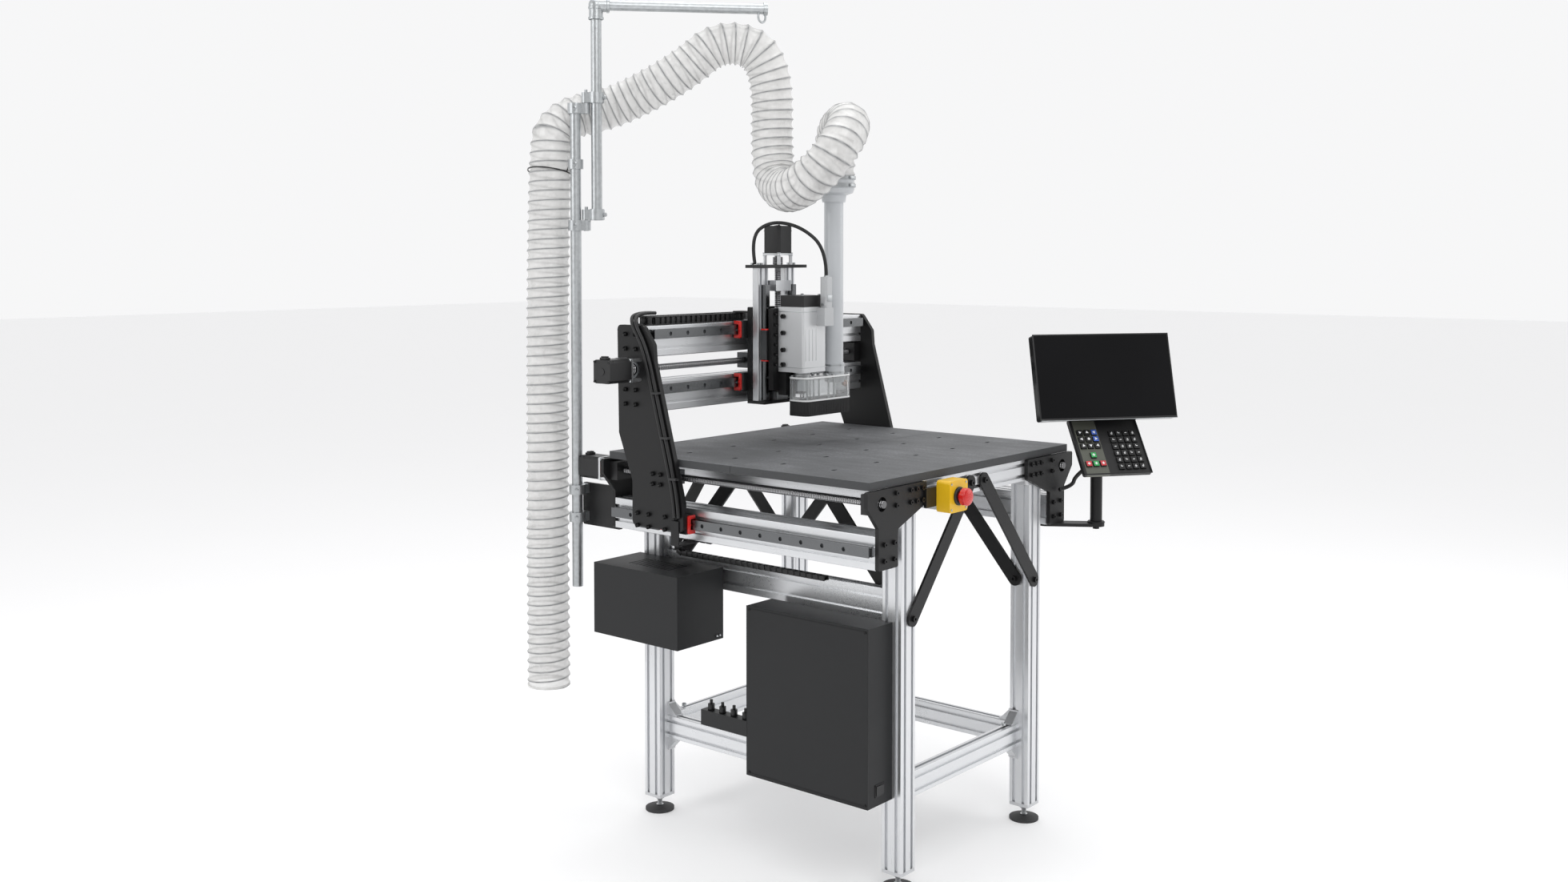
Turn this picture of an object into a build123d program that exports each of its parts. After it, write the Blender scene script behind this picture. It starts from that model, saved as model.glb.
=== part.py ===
"""Benchtop-format three-axis router table: frame, gantry, spindle, controls and dust hose.

Machine frame: X to the operator's right, Y towards the rear, Z up, floor at Z = 0.
The finished pieces are moved so that the origin is the middle of the footprint.
"""

from build123d import *
import math
import os

os.makedirs("parts", exist_ok=True)

# ---------------------------------------------------------------- driving sizes
fit_gap = 0.1            # between pieces that bolt together but stay separate
running_gap = 0.5        # round shafts and rails

# base frame
leg_size = 54
leg_span_x = 596         # over the outer faces of the legs
leg_span_y = 803
foot_diameter = 73
foot_rim = 6
foot_height = 11
foot_stud = 12
end_plate = 8
leg_bottom = 38
leg_top = 850
leg_bore = 16
slot_mouth = 8
slot_depth = 7
profile_corner = 2
stretcher_wide = 27
stretcher_tall = 58
stretcher_low = 190
rear_tie_tall = 75
rear_tie_low = 597
angle_bracket = 32
angle_sheet = 4

# long rails that carry the gantry
rail_beam = 75
beam_slot_pitch = 35
beam_gap = 24            # from the legs' outer faces to the rail beams
beam_low = 740
rail_wide = 23
rail_tall = 18
rail_pitch = 60
rail_hole = 10
rail_inset = 4
bearing_wide = 46
bearing_length = 77
bearing_lift = 4         # free height under a bearing block
bearing_tall = 26
plate_thick = 12

# bed
corner_plate = 10
cap_plate = 12
cap_wide = 80
cap_deep = 66
board_wide = 844
board_long = 800
board_thick = 18
board_setback = 3        # how far the board overhangs the front beams
board_seam = 1
board_hole = 9
board_hole_pitch_x = 160
board_hole_pitch_y = 150
brace_wide = 36
brace_thick = 6
brace_foot_z = 612
brace_head_z = 888
brace_run = 232

# screws and motors
screw_diameter = 16
screw_to_beam = 12       # sideways, from the beams' outer faces to the long screws
motor_size = 57
motor_length = 76
standoff = 28
coupling_diameter = 26
coupling_length = 20

# gantry
long_block_tall = 27     # from under a long rail's bearing block to the side plate
gantry_top = 1249
gantry_low = 765
lower_beam_low = 1038
upper_beam_low = 1172
gantry_beam_front = 262
carriage_x = -17         # where the carriage rests
carriage_wide = 150
carriage_thick = 15
carriage_low = 1045
carriage_top = 1284

# vertical axis
column_spread = 106
column_wide = 40
column_thick = 20
column_top = 1384
z_rail_wide = 15
z_rail_tall = 15
z_rail_top = 1341
z_block_wide = 34
z_block_long = 76
z_block_low = 1150
z_plate_wide = 126
z_plate_thick = 15
z_plate_low = 1072
z_plate_top = 1281

# spindle and dust shoe
spindle_wide = 92
spindle_deep = 85
spindle_low = 1121
spindle_top = 1286
spindle_bore = 62
shaft_diameter = 24
collet_bore = 8
collet_depth = 32
shoe_long = 189
shoe_deep = 65
shoe_low = 1047
shoe_top = 1108
shoe_wall = 6
brush_low = 1010
duct_diameter = 50
duct_wall = 2
duct_top = 1575
hose_diameter = 112
hose_wall = 2

hose_corner_cut = 62     # how far a right-angled corner is cut back each way

# pipework that holds the hose
pipe_diameter = 27
pipe_wall = 2.5
pole_x = -400
pole_y = 538
pole_low = 574
pole_top = 1785
boom_x = -366
boom_y = 497
boom_low = 1515
boom_top = 2045
boom_reach = 427
boom_turn = -41.3        # the arm's heading, degrees from +X

# enclosures
control_deep = 90
control_long = 352
control_low = 210
control_top = 607
drive_deep = 160
drive_long = 285
drive_low = 487
drive_top = 661
sheet = 1.5

# operator's station
post_x = 430
post_y = -484.5
post_diameter = 30
station_turn = -36       # the screen's heading, degrees from the front
screen_wide = 369
screen_tall = 216
screen_thick = 24
screen_tilt = 15
screen_z = 1115
tray_wide = 182
tray_long = 160
tray_thick = 10
tray_tilt = 38.6
tray_z = 944
key_size = 15
key_pitch = 19
key_travel = 2
key_tall = 4

# ---------------------------------------------------------------- worked-out places
leg_x = (leg_span_x - leg_size) / 2
leg_y = (leg_span_y - leg_size) / 2
leg_places = [(x, y) for x in (-leg_x, leg_x) for y in (-leg_y, leg_y)]
inner_x = leg_x - leg_size / 2
inner_y = leg_y - leg_size / 2
front_y = -leg_span_y / 2
beam_in = leg_span_x / 2 + beam_gap
beam_out = beam_in + rail_beam
beam_mid = beam_in + rail_beam / 2
bed_low = leg_top + cap_plate
bed_top = bed_low + leg_size
board_top = bed_top + board_thick
rail_z = beam_low + rail_beam / 2 + 4
plate_in = beam_out + bearing_lift + long_block_tall
gantry_inner = 2 * plate_in
screw_x = beam_out - screw_to_beam
screw_z = bed_low + 22
motor_y = leg_span_y / 2 + corner_plate + standoff
gantry_beam_back = gantry_beam_front + rail_beam
upper_rail_z = upper_beam_low + rail_beam / 2 + beam_slot_pitch / 2
lower_rail_z = lower_beam_low + rail_beam / 2 + beam_slot_pitch / 2
x_rail_face = gantry_beam_front - rail_tall
carriage_back = gantry_beam_front - bearing_lift - bearing_tall
carriage_front = carriage_back - carriage_thick
cross_screw_y = gantry_beam_back - 45
cross_screw_z = (lower_beam_low + rail_beam + upper_beam_low) / 2
column_front = carriage_front - column_thick
z_rail_front = column_front - z_rail_tall
z_plate_front = z_rail_front - bearing_lift - 22
z_plate_back = z_plate_front + z_plate_thick
z_screw_y = column_front - 3.5
spindle_back = z_plate_front
spindle_front = spindle_back - spindle_deep
spindle_y = (spindle_front + spindle_back) / 2
shoe_left = carriage_x - 38
shoe_right = shoe_left + shoe_long
shoe_back = spindle_y + 18
shoe_front = shoe_back - shoe_deep
duct_x = shoe_right - 38
duct_y = (shoe_front + shoe_back) / 2
chain_wide = 22
chain_low = upper_beam_low + rail_beam
chain_top = chain_low + chain_wide
front_run = gantry_beam_front + 6
control_x = -leg_span_x / 2
control_front = -377
drive_front = 130

pieces = []


# ---------------------------------------------------------------- helpers
def block(x, y, z):
    """Add a box that spans the given (low, high) pairs."""
    spans = (x, y, z)
    with Locations(tuple((high + low) / 2 for low, high in spans)):
        Box(*[high - low for low, high in spans])


def hollow(x, y, z):
    """Cut a box that spans the given (low, high) pairs."""
    spans = (x, y, z)
    with Locations(tuple((high + low) / 2 for low, high in spans)):
        Box(*[high - low for low, high in spans], mode=Mode.SUBTRACT)


def slotted_bar(plane, length, wide, tall, pitch_wide, pitch_tall, bore=0.0,
                depth=slot_depth, side_slots=True):
    """Extrude a profile with open slots along its faces."""
    with BuildSketch(plane) as section:
        RectangleRounded(wide, tall, profile_corner)
        with Locations((0, tall / 2), (0, -tall / 2)):
            with GridLocations(pitch_wide, 1, 2 if pitch_wide else 1, 1):
                Rectangle(slot_mouth, 2 * depth, mode=Mode.SUBTRACT)
        if side_slots:
            with Locations((wide / 2, 0), (-wide / 2, 0)):
                with GridLocations(1, pitch_tall, 1, 2 if pitch_tall else 1):
                    Rectangle(2 * depth, slot_mouth, mode=Mode.SUBTRACT)
        if bore:
            Circle(bore / 2, mode=Mode.SUBTRACT)
    extrude(section.sketch, amount=length)


def along_x(x, y, z):
    """Plane at a point whose normal is +X, with Y across it and Z up it."""
    return Plane(origin=(x, y, z), x_dir=(0, 1, 0), z_dir=(1, 0, 0))


def along_y(x, y, z):
    """Plane at a point whose normal is +Y, with X across it."""
    return Plane(origin=(x, y, z), x_dir=(1, 0, 0), z_dir=(0, 1, 0))


def along_z(x, y, z):
    """Plane at a point whose normal is +Z."""
    return Plane(origin=(x, y, z), x_dir=(1, 0, 0), z_dir=(0, 0, 1))


def rod(plane, length, diameter, bore=0.0, mode=Mode.ADD):
    """Extrude a round bar, or a ring when it has a bore, along the plane's normal."""
    with BuildSketch(plane) as section:
        Circle(diameter / 2)
        if bore:
            Circle(bore / 2, mode=Mode.SUBTRACT)
    extrude(section.sketch, amount=length, mode=mode)


def plate(plane, outline, thick, corner):
    """Extrude a flat plate with a straight-sided outline and rounded corners."""
    with BuildSketch(plane) as section:
        with BuildLine():
            FilletPolyline(*outline, radius=corner, close=True)
        make_face()
    extrude(section.sketch, amount=thick)


def rounded(plane, wide, tall, thick, corner, mode=Mode.ADD):
    """Extrude a rectangle with rounded corners, centred on the plane's origin."""
    with BuildSketch(plane) as section:
        RectangleRounded(wide, tall, corner)
    extrude(section.sketch, amount=thick, mode=mode)


def rail(plane, length, wide, tall, hole_pitch):
    """A profile rail that stands on the plane, along its X, with waisted sides."""
    waist = wide * 0.12
    across = Plane(origin=plane.origin, x_dir=plane.y_dir, z_dir=plane.x_dir)
    with BuildSketch(across) as section:
        with BuildLine():
            Polyline(
                (-wide / 2, 0),
                (wide / 2, 0),
                (wide / 2, tall * 0.4),
                (wide / 2 - waist, tall * 0.55),
                (wide / 2 - waist, tall * 0.7),
                (wide / 2, tall * 0.85),
                (wide / 2, tall),
                (-wide / 2, tall),
                (-wide / 2, tall * 0.85),
                (-wide / 2 + waist, tall * 0.7),
                (-wide / 2 + waist, tall * 0.55),
                (-wide / 2, tall * 0.4),
                close=True,
            )
        make_face()
    extrude(section.sketch, amount=length / 2, both=True)
    with BuildSketch(plane.offset(tall - rail_hole / 2)) as holes:
        with GridLocations(hole_pitch, 1, int((length - hole_pitch / 2) // hole_pitch), 1):
            Circle(rail_hole / 2)
    extrude(holes.sketch, amount=rail_hole, mode=Mode.SUBTRACT)


def bearing_block(plane, long, wide, tall, lift, channel_wide, channel_tall):
    """A block that straddles a rail: the plane is the rail's foot, X runs along it."""
    rounded(plane.offset(lift), long, wide, tall, 2)
    with BuildSketch(plane.offset(lift)) as channel:
        Rectangle(long + 2, channel_wide + 2 * running_gap)
    extrude(channel.sketch, amount=channel_tall - lift + running_gap, mode=Mode.SUBTRACT)


def stepper(plane, length):
    """A square stepper motor: flange, black body with cut corners, and end bell."""
    flange = 6
    rounded(plane, motor_size, motor_size, flange, 4)
    with BuildSketch(plane.offset(flange)) as body:
        Rectangle(motor_size - 1, motor_size - 1)
        chamfer(body.vertices(), 7)
    extrude(body.sketch, amount=length - flange)


def standoffs(plane, length):
    """Four round spacers on a motor's screw circle."""
    with BuildSketch(plane) as spacers:
        with GridLocations(47, 47, 2, 2):
            Circle(4.5)
            Circle(2.2, mode=Mode.SUBTRACT)
    extrude(spacers.sketch, amount=length)


def bend_radii(points):
    """One radius for each corner of a route: as large as its two runs allow."""
    radii = []
    for before, corner, after in zip(points, points[1:], points[2:]):
        arriving = Vector(*corner) - Vector(*before)
        leaving = Vector(*after) - Vector(*corner)
        turn = math.radians(arriving.get_angle(leaving))
        radii.append(0.45 * min(arriving.length, leaving.length) / math.tan(turn / 2))
    return radii


def tube(points, radii, outer, wall=0.0):
    """Sweep a round section along straight runs joined by tangent arcs."""
    with BuildLine() as route:
        if radii:
            FilletPolyline(*points, radius=radii)
        else:
            Line(*points)
    with BuildSketch(Plane(origin=route.line @ 0, z_dir=route.line % 0)) as section:
        Circle(outer / 2)
        if wall:
            Circle(outer / 2 - wall, mode=Mode.SUBTRACT)
    sweep(section.sketch, path=route.line)
    return sum(edge.length for edge in route.edges())


def keep(builder, label):
    """Name a finished piece and put it in the list that is written out."""
    builder.part.label = label
    pieces.append(builder)


# ---------------------------------------------------------------- base frame
with BuildPart() as legs:
    for x, y in leg_places:
        slotted_bar(
            along_z(x, y, leg_bottom + end_plate),
            leg_top - leg_bottom - end_plate,
            leg_size,
            leg_size,
            leg_size / 2,
            leg_size / 2,
            leg_bore,
        )
keep(legs, "legs")

with BuildPart() as leveling_feet:
    for x, y in leg_places:
        with BuildSketch(Plane(origin=(x, y, 0), x_dir=(1, 0, 0), z_dir=(0, -1, 0))) as profile:
            with BuildLine():
                Polyline(
                    (0, 0),
                    (foot_diameter / 2, 0),
                    (foot_diameter / 2, foot_rim),
                    (foot_stud, foot_height),
                    (foot_stud / 2, foot_height + 3),
                    (foot_stud / 2, leg_bottom + 40),
                    (0, leg_bottom + 40),
                    close=True,
                )
            make_face()
        revolve(profile.sketch, axis=Axis((x, y, 0), (0, 0, 1)))
        with BuildSketch(along_z(x, y, leg_bottom - 10)) as nut:
            RegularPolygon(foot_stud * 0.8, 6, major_radius=False)
            Circle(foot_stud / 2 + fit_gap, mode=Mode.SUBTRACT)
        extrude(nut.sketch, amount=10 - fit_gap)
keep(leveling_feet, "leveling_feet")

with BuildPart() as stretchers:
    for side in (-1, 1):
        slotted_bar(
            along_x(-inner_x + fit_gap, side * (inner_y + stretcher_wide / 2),
                    stretcher_low + stretcher_tall / 2),
            2 * (inner_x - fit_gap), stretcher_wide, stretcher_tall, 0, 30,
        )
        slotted_bar(
            along_y(side * (inner_x + stretcher_wide / 2), -inner_y + fit_gap,
                    stretcher_low + stretcher_tall / 2),
            2 * (inner_y - fit_gap), stretcher_wide, stretcher_tall, 0, 30,
        )
    slotted_bar(
        along_y(-inner_x - stretcher_wide / 2, -inner_y + fit_gap,
                rear_tie_low + rear_tie_tall / 2),
        2 * (inner_y - fit_gap), stretcher_wide, rear_tie_tall, 0, beam_slot_pitch,
    )
keep(stretchers, "stretchers")


def corner_angle(x, y, z, toward_x, toward_y, up):
    """A cast angle in the corner between a leg and a stretcher's upper or lower face."""
    gusset = angle_bracket - angle_sheet
    turn_x = Vector(toward_x, toward_y, 0)
    plane = Plane(origin=(x, y, z), x_dir=turn_x, z_dir=turn_x.cross(Vector(0, 0, up)))
    with BuildSketch(plane) as shape:
        with BuildLine():
            Polyline(
                (fit_gap, fit_gap),
                (angle_bracket, fit_gap),
                (angle_bracket, angle_sheet),
                (gusset, angle_sheet),
                (angle_sheet, gusset),
                (angle_sheet, angle_bracket),
                (fit_gap, angle_bracket),
                close=True,
            )
        make_face()
    extrude(shape.sketch, amount=stretcher_wide / 2 - 2, both=True)


with BuildPart() as frame_brackets:
    for side_x in (-1, 1):
        for side_y in (-1, 1):
            for z, up in ((stretcher_low + stretcher_tall, 1), (stretcher_low, -1)):
                corner_angle(side_x * inner_x, side_y * (inner_y + stretcher_wide / 2), z,
                             -side_x, 0, up)
                corner_angle(side_x * (inner_x + stretcher_wide / 2), side_y * inner_y, z,
                             0, -side_y, up)
    for side_y in (-1, 1):
        corner_angle(-inner_x - stretcher_wide / 2, side_y * inner_y, rear_tie_low,
                     0, -side_y, -1)
    for x, y in leg_places:
        rounded(along_z(x, y, leg_bottom), leg_size, leg_size, end_plate - fit_gap, 2)
        rod(along_z(x, y, leg_bottom - 1), end_plate + 2, foot_stud + 1, mode=Mode.SUBTRACT)
        inward = math.copysign((cap_deep - leg_size) / 2 + 2 * fit_gap, y)
        rounded(along_z(x, y - inward, leg_top), cap_wide, cap_deep, cap_plate, 8)
keep(frame_brackets, "frame_brackets")

with BuildPart() as rail_beams:
    for side in (-1, 1):
        slotted_bar(
            along_y(side * beam_mid, front_y, beam_low + rail_beam / 2),
            leg_span_y, rail_beam, rail_beam, beam_slot_pitch, beam_slot_pitch,
        )
keep(rail_beams, "rail_beams")

with BuildPart() as long_rails:
    for side in (-1, 1):
        foot = Plane(origin=(side * beam_out, 0, rail_z), x_dir=(0, 1, 0), z_dir=(side, 0, 0))
        rail(foot, leg_span_y - 2 * rail_inset, rail_wide, rail_tall, rail_pitch)
keep(long_rails, "long_rails")

corner_outline = [
    (218, bed_low + 4),
    (218, bed_top - 1),
    (beam_out + 40, bed_top - 1),
    (beam_out + 40, bed_low + 18),
    (beam_out, beam_low + rail_beam + 17),
    (beam_out, beam_low),
    (beam_in + 4, beam_low),
    (beam_in + 4, beam_low + rail_beam + 8),
]
with BuildPart() as corner_plates:
    for side in (-1, 1):
        for end in (-1, 1):
            face = Plane(origin=(0, end * leg_span_y / 2, 0), x_dir=(side, 0, 0),
                         z_dir=(0, end, 0))
            upright = -side * end
            outline = [(x, upright * z) for x, z in corner_outline]
            plate(face, outline, corner_plate, 5)
    for side in (-1, 1):
        rod(along_y(side * screw_x, -leg_span_y / 2 - corner_plate - 1, screw_z),
            leg_span_y + 2 * corner_plate + 2, coupling_diameter + 6, mode=Mode.SUBTRACT)
keep(corner_plates, "corner_plates")

with BuildPart() as bed_beams:
    for side in (-1, 1):
        slotted_bar(along_x(-beam_in - 28, side * leg_y, bed_low + leg_size / 2),
                    2 * (beam_in + 28), leg_size, leg_size, leg_size / 2, leg_size / 2)
        slotted_bar(along_y(side * leg_x, -inner_y + fit_gap, bed_low + leg_size / 2),
                    2 * (inner_y - fit_gap), leg_size, leg_size, leg_size / 2, leg_size / 2)
    slotted_bar(along_y(0, -inner_y + fit_gap, bed_low + leg_size / 2),
                2 * (inner_y - fit_gap), leg_size, leg_size, leg_size / 2, leg_size / 2)
keep(bed_beams, "bed_beams")

board_front = front_y - board_setback
half_board = (board_long - board_seam) / 2
with BuildPart() as spoilboard:
    block((-board_wide / 2, board_wide / 2), (board_front, board_front + half_board),
          (bed_top, board_top))
    block((-board_wide / 2, board_wide / 2),
          (board_front + board_long - half_board, board_front + board_long),
          (bed_top, board_top))
    with BuildSketch(Plane.XY.offset(board_top)) as holes:
        with Locations((0, board_front + board_long / 2)):
            with GridLocations(board_hole_pitch_x, board_hole_pitch_y, 5, 4):
                SlotOverall(2 * board_hole, board_hole)
    extrude(holes.sketch, amount=-board_thick / 2, mode=Mode.SUBTRACT)
keep(spoilboard, "spoilboard")


def brace(plane, foot, head):
    """A flat bar with round ends between two points of the plane."""
    span = Vector(*head) - Vector(*foot)
    with BuildSketch(plane) as bar:
        with Locations(Location(((foot[0] + head[0]) / 2, (foot[1] + head[1]) / 2, 0),
                                (0, 0, math.degrees(math.atan2(span.Y, span.X))))):
            SlotCenterToCenter(span.length, brace_wide)
    extrude(bar.sketch, amount=brace_thick)


with BuildPart() as braces:
    for side in (-1, 1):
        for end in (-1, 1):
            outer = Plane(origin=(0, end * leg_span_y / 2, 0), x_dir=(-end, 0, 0),
                          z_dir=(0, end, 0))
            brace(outer, (side * (leg_x - 10), brace_foot_z),
                  (side * (leg_x - 10 - brace_run), brace_head_z))
            inner = Plane(origin=(side * inner_x, 0, 0), x_dir=(0, -side, 0),
                          z_dir=(-side, 0, 0))
            brace(inner, (end * (leg_y - 12), brace_foot_z),
                  (end * (leg_y - 12 - brace_run), brace_head_z))
keep(braces, "diagonal_braces")


def screw_heads(plane, places, diameter, tall):
    """Cap-screw heads with hexagon sockets that stand on the plane."""
    with BuildSketch(plane) as heads:
        with Locations(*places):
            Circle(diameter / 2)
    extrude(heads.sketch, amount=tall)
    with BuildSketch(plane.offset(tall)) as sockets:
        with Locations(*places):
            RegularPolygon(diameter / 4, 6)
    extrude(sockets.sketch, amount=-tall / 2, mode=Mode.SUBTRACT)


with BuildPart() as frame_screws:
    for side in (-1, 1):
        for end in (-1, 1):
            outward = leg_span_y / 2 + corner_plate
            face = Plane(origin=(0, end * outward, 0), x_dir=(-end, 0, 0), z_dir=(0, end, 0))
            rows = [(side * x, z) for x in (236, 258, 280, 334)
                    for z in (bed_low + leg_size / 4, bed_low + 3 * leg_size / 4)]
            rows += [(side * (beam_mid + dx), beam_low + rail_beam / 2 + dz)
                     for dx in (-18, 18) for dz in (-18, 18)]
            screw_heads(face, rows, 11, 6)
            bar = Plane(origin=(0, end * (leg_span_y / 2 + brace_thick), 0),
                        x_dir=(-end, 0, 0), z_dir=(0, end, 0))
            screw_heads(bar, [(side * (leg_x - 10), brace_foot_z),
                              (side * (leg_x - 10 - brace_run), brace_head_z)], 14, 6)
            inside = Plane(origin=(side * (inner_x - brace_thick), 0, 0),
                           x_dir=(0, -side, 0), z_dir=(-side, 0, 0))
            screw_heads(inside, [(end * (leg_y - 12), brace_foot_z),
                                 (end * (leg_y - 12 - brace_run), brace_head_z)], 14, 6)
keep(frame_screws, "frame_screws")

# ---------------------------------------------------------------- long-axis drives
with BuildPart() as long_drives:
    for side in (-1, 1):
        x = side * screw_x
        for y in (front_y + 0.2, leg_span_y / 2 - 25.2):
            block((x - 30, x + 30), (y, y + 25), (screw_z - 22, screw_z + 22))
        rod(along_y(x, front_y, screw_z), leg_span_y, screw_diameter + 1, mode=Mode.SUBTRACT)
        standoffs(along_y(x, leg_span_y / 2 + corner_plate + fit_gap, screw_z),
                  standoff - 2 * fit_gap)
        stepper(along_y(x, motor_y, screw_z), motor_length)
keep(long_drives, "long_axis_drives")

for side, word in ((-1, "left"), (1, "right")):
    with BuildPart() as long_screw:
        start = front_y - corner_plate - 6
        rod(along_y(side * screw_x, start, screw_z), motor_y - 2 - start, screw_diameter)
        rod(along_y(side * screw_x, motor_y - 4 - coupling_length, screw_z), coupling_length,
            coupling_diameter, screw_diameter + 2 * fit_gap)
    keep(long_screw, f"long_screw_{word}")

# ---------------------------------------------------------------- gantry
gantry_outline = [
    (gantry_beam_back + 10, gantry_top),
    (gantry_beam_front - 3, gantry_top),
    (x_rail_face - 20, gantry_top - 45),
    (x_rail_face - 23, gantry_top - 84),
    (128, beam_low + rail_beam + 18),
    (128, gantry_low),
    (297, gantry_low),
    (297, gantry_low + 108),
    (gantry_beam_back + 6, gantry_low + 221),
]
with BuildPart() as gantry_plates:
    for side in (-1, 1):
        wall = Plane(origin=(side * plate_in, 0, 0), x_dir=(0, side, 0), z_dir=(side, 0, 0))
        outline = [(side * y, z) for y, z in gantry_outline]
        plate(wall, outline, plate_thick, 12)
        rod(along_x(side * plate_in - plate_thick - 1, cross_screw_y, cross_screw_z),
            2 * plate_thick + 2, 32, mode=Mode.SUBTRACT)
    bracket_x = (-plate_in - plate_thick - 3, -leg_span_x / 2 - 3)
    block(bracket_x, (140, 165), (beam_low - 9, beam_low - 5))
    block((bracket_x[0], -plate_in - plate_thick), (140, 165), (beam_low - 9, gantry_low + 25))
keep(gantry_plates, "gantry_plates")

with BuildPart() as gantry_beams:
    for low in (lower_beam_low, upper_beam_low):
        slotted_bar(
            along_x(-plate_in, gantry_beam_front + rail_beam / 2, low + rail_beam / 2),
            gantry_inner, rail_beam, rail_beam, beam_slot_pitch, beam_slot_pitch,
        )
keep(gantry_beams, "gantry_beams")

with BuildPart() as cross_rails:
    for z in (lower_rail_z, upper_rail_z):
        foot = Plane(origin=(0, gantry_beam_front, z), x_dir=(1, 0, 0), z_dir=(0, -1, 0))
        rail(foot, gantry_inner - 2 * rail_inset - 18, rail_wide, rail_tall, rail_pitch)
keep(cross_rails, "cross_rails")

long_block_places = (128 + bearing_length / 2, 297 - bearing_length / 2)
long_nut_y = (long_block_places[0] + long_block_places[1]) / 2
with BuildPart() as long_bearings:
    for side in (-1, 1):
        for y in long_block_places:
            foot = Plane(origin=(side * beam_out, y, rail_z), x_dir=(0, 1, 0),
                         z_dir=(side, 0, 0))
            bearing_block(foot, bearing_length, bearing_wide,
                          plate_in - beam_out - bearing_lift - fit_gap, bearing_lift,
                          rail_wide, rail_tall)
        nut_inner = side * (screw_x - 17)
        nut_outer = side * (plate_in - fit_gap)
        block((min(nut_inner, nut_outer), max(nut_inner, nut_outer)),
              (long_nut_y - 22, long_nut_y + 22), (screw_z - 17, screw_z + 17))
        rod(along_y(side * screw_x, long_nut_y - 23, screw_z), 46, screw_diameter + 1,
            mode=Mode.SUBTRACT)
keep(long_bearings, "long_bearings")

motor_x = -plate_in - plate_thick - standoff
with BuildPart() as cross_drive:
    for x in (-plate_in + fit_gap, plate_in - fit_gap - 25):
        block((x, x + 25), (cross_screw_y - 26, cross_screw_y + 26),
              (cross_screw_z - 25, cross_screw_z + 25))
    rod(along_x(-plate_in, cross_screw_y, cross_screw_z), gantry_inner, screw_diameter + 1,
        mode=Mode.SUBTRACT)
    leftward = Plane(origin=(-plate_in - plate_thick - fit_gap, cross_screw_y, cross_screw_z),
                     x_dir=(0, 1, 0), z_dir=(-1, 0, 0))
    standoffs(leftward, standoff - 2 * fit_gap)
    stepper(leftward.offset(standoff - fit_gap), motor_length)
keep(cross_drive, "cross_axis_drive")

with BuildPart() as cross_screw:
    rod(along_x(motor_x + 2, cross_screw_y, cross_screw_z), plate_in - 4 - motor_x - 2,
        screw_diameter)
    rod(along_x(motor_x + 4, cross_screw_y, cross_screw_z), coupling_length,
        coupling_diameter, screw_diameter + 2 * fit_gap)
keep(cross_screw, "cross_screw")

# ---------------------------------------------------------------- carriage
with BuildPart() as carriage_plate:
    rounded(
        Plane(origin=(carriage_x, carriage_back, (carriage_low + carriage_top) / 2),
              x_dir=(1, 0, 0), z_dir=(0, -1, 0)),
        carriage_wide, carriage_top - carriage_low, carriage_thick, 3,
    )
    block((carriage_x - 75, carriage_x - 40), (carriage_back - 2, front_run + 14),
          (chain_top + fit_gap, chain_top + 4))
keep(carriage_plate, "carriage_plate")

with BuildPart() as cross_bearings:
    for z in (lower_rail_z, upper_rail_z):
        for side in (-1, 1):
            foot = Plane(origin=(carriage_x + side * 57, gantry_beam_front, z),
                         x_dir=(1, 0, 0), z_dir=(0, -1, 0))
            bearing_block(foot, bearing_length, bearing_wide, bearing_tall - fit_gap,
                          bearing_lift, rail_wide, rail_tall)
    block((carriage_x - 25, carriage_x + 25), (carriage_back + fit_gap, cross_screw_y + 20),
          (cross_screw_z - 20, cross_screw_z + 20))
    rod(along_x(carriage_x - 26, cross_screw_y, cross_screw_z), 52, screw_diameter + 1,
        mode=Mode.SUBTRACT)
keep(cross_bearings, "cross_bearings")

with BuildPart() as z_frame:
    for side in (-1, 1):
        slotted_bar(
            along_z(carriage_x + side * column_spread / 2,
                    column_front + column_thick / 2 - fit_gap / 2, carriage_low),
            column_top - carriage_low - fit_gap, column_wide, column_thick - fit_gap,
            column_wide / 2, 0, depth=5, side_slots=False,
        )
    top_wide = column_spread + 2 * 30
    block((carriage_x - top_wide / 2, carriage_x + top_wide / 2),
          (column_front - 32, carriage_back), (column_top, column_top + 8))
    rod(along_z(carriage_x, z_screw_y, column_top - 1), 10, coupling_diameter + 8,
        mode=Mode.SUBTRACT)
    block((carriage_x - carriage_wide / 2, carriage_x + carriage_wide / 2),
          (z_plate_back + 4, carriage_back), (carriage_low - 8, carriage_low - fit_gap))
    block((carriage_x - 30, carriage_x + 30), (z_plate_back + 3, carriage_front - fit_gap),
          (z_rail_top - 16, z_rail_top + 11))
    block((carriage_x - 22, carriage_x + 22), (z_screw_y - 15, z_screw_y + 15),
          (carriage_low, carriage_low + 20))
    rod(along_z(carriage_x, z_screw_y, carriage_low - 9), z_rail_top - carriage_low + 40,
        screw_diameter + 1, mode=Mode.SUBTRACT)
keep(z_frame, "z_frame")

with BuildPart() as z_rails:
    for side in (-1, 1):
        foot = Plane(
            origin=(carriage_x + side * column_spread / 2, column_front,
                    (carriage_low + 2 + z_rail_top) / 2),
            x_dir=(0, 0, 1), z_dir=(0, -1, 0),
        )
        rail(foot, z_rail_top - carriage_low - 2, z_rail_wide, z_rail_tall, rail_pitch)
keep(z_rails, "z_rails")

z_motor_low = column_top + 8 + 24
with BuildPart() as z_motor:
    standoffs(along_z(carriage_x, z_screw_y, column_top + 8 + fit_gap), 24 - 2 * fit_gap)
    stepper(along_z(carriage_x, z_screw_y, z_motor_low), motor_length)
keep(z_motor, "z_motor")

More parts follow.
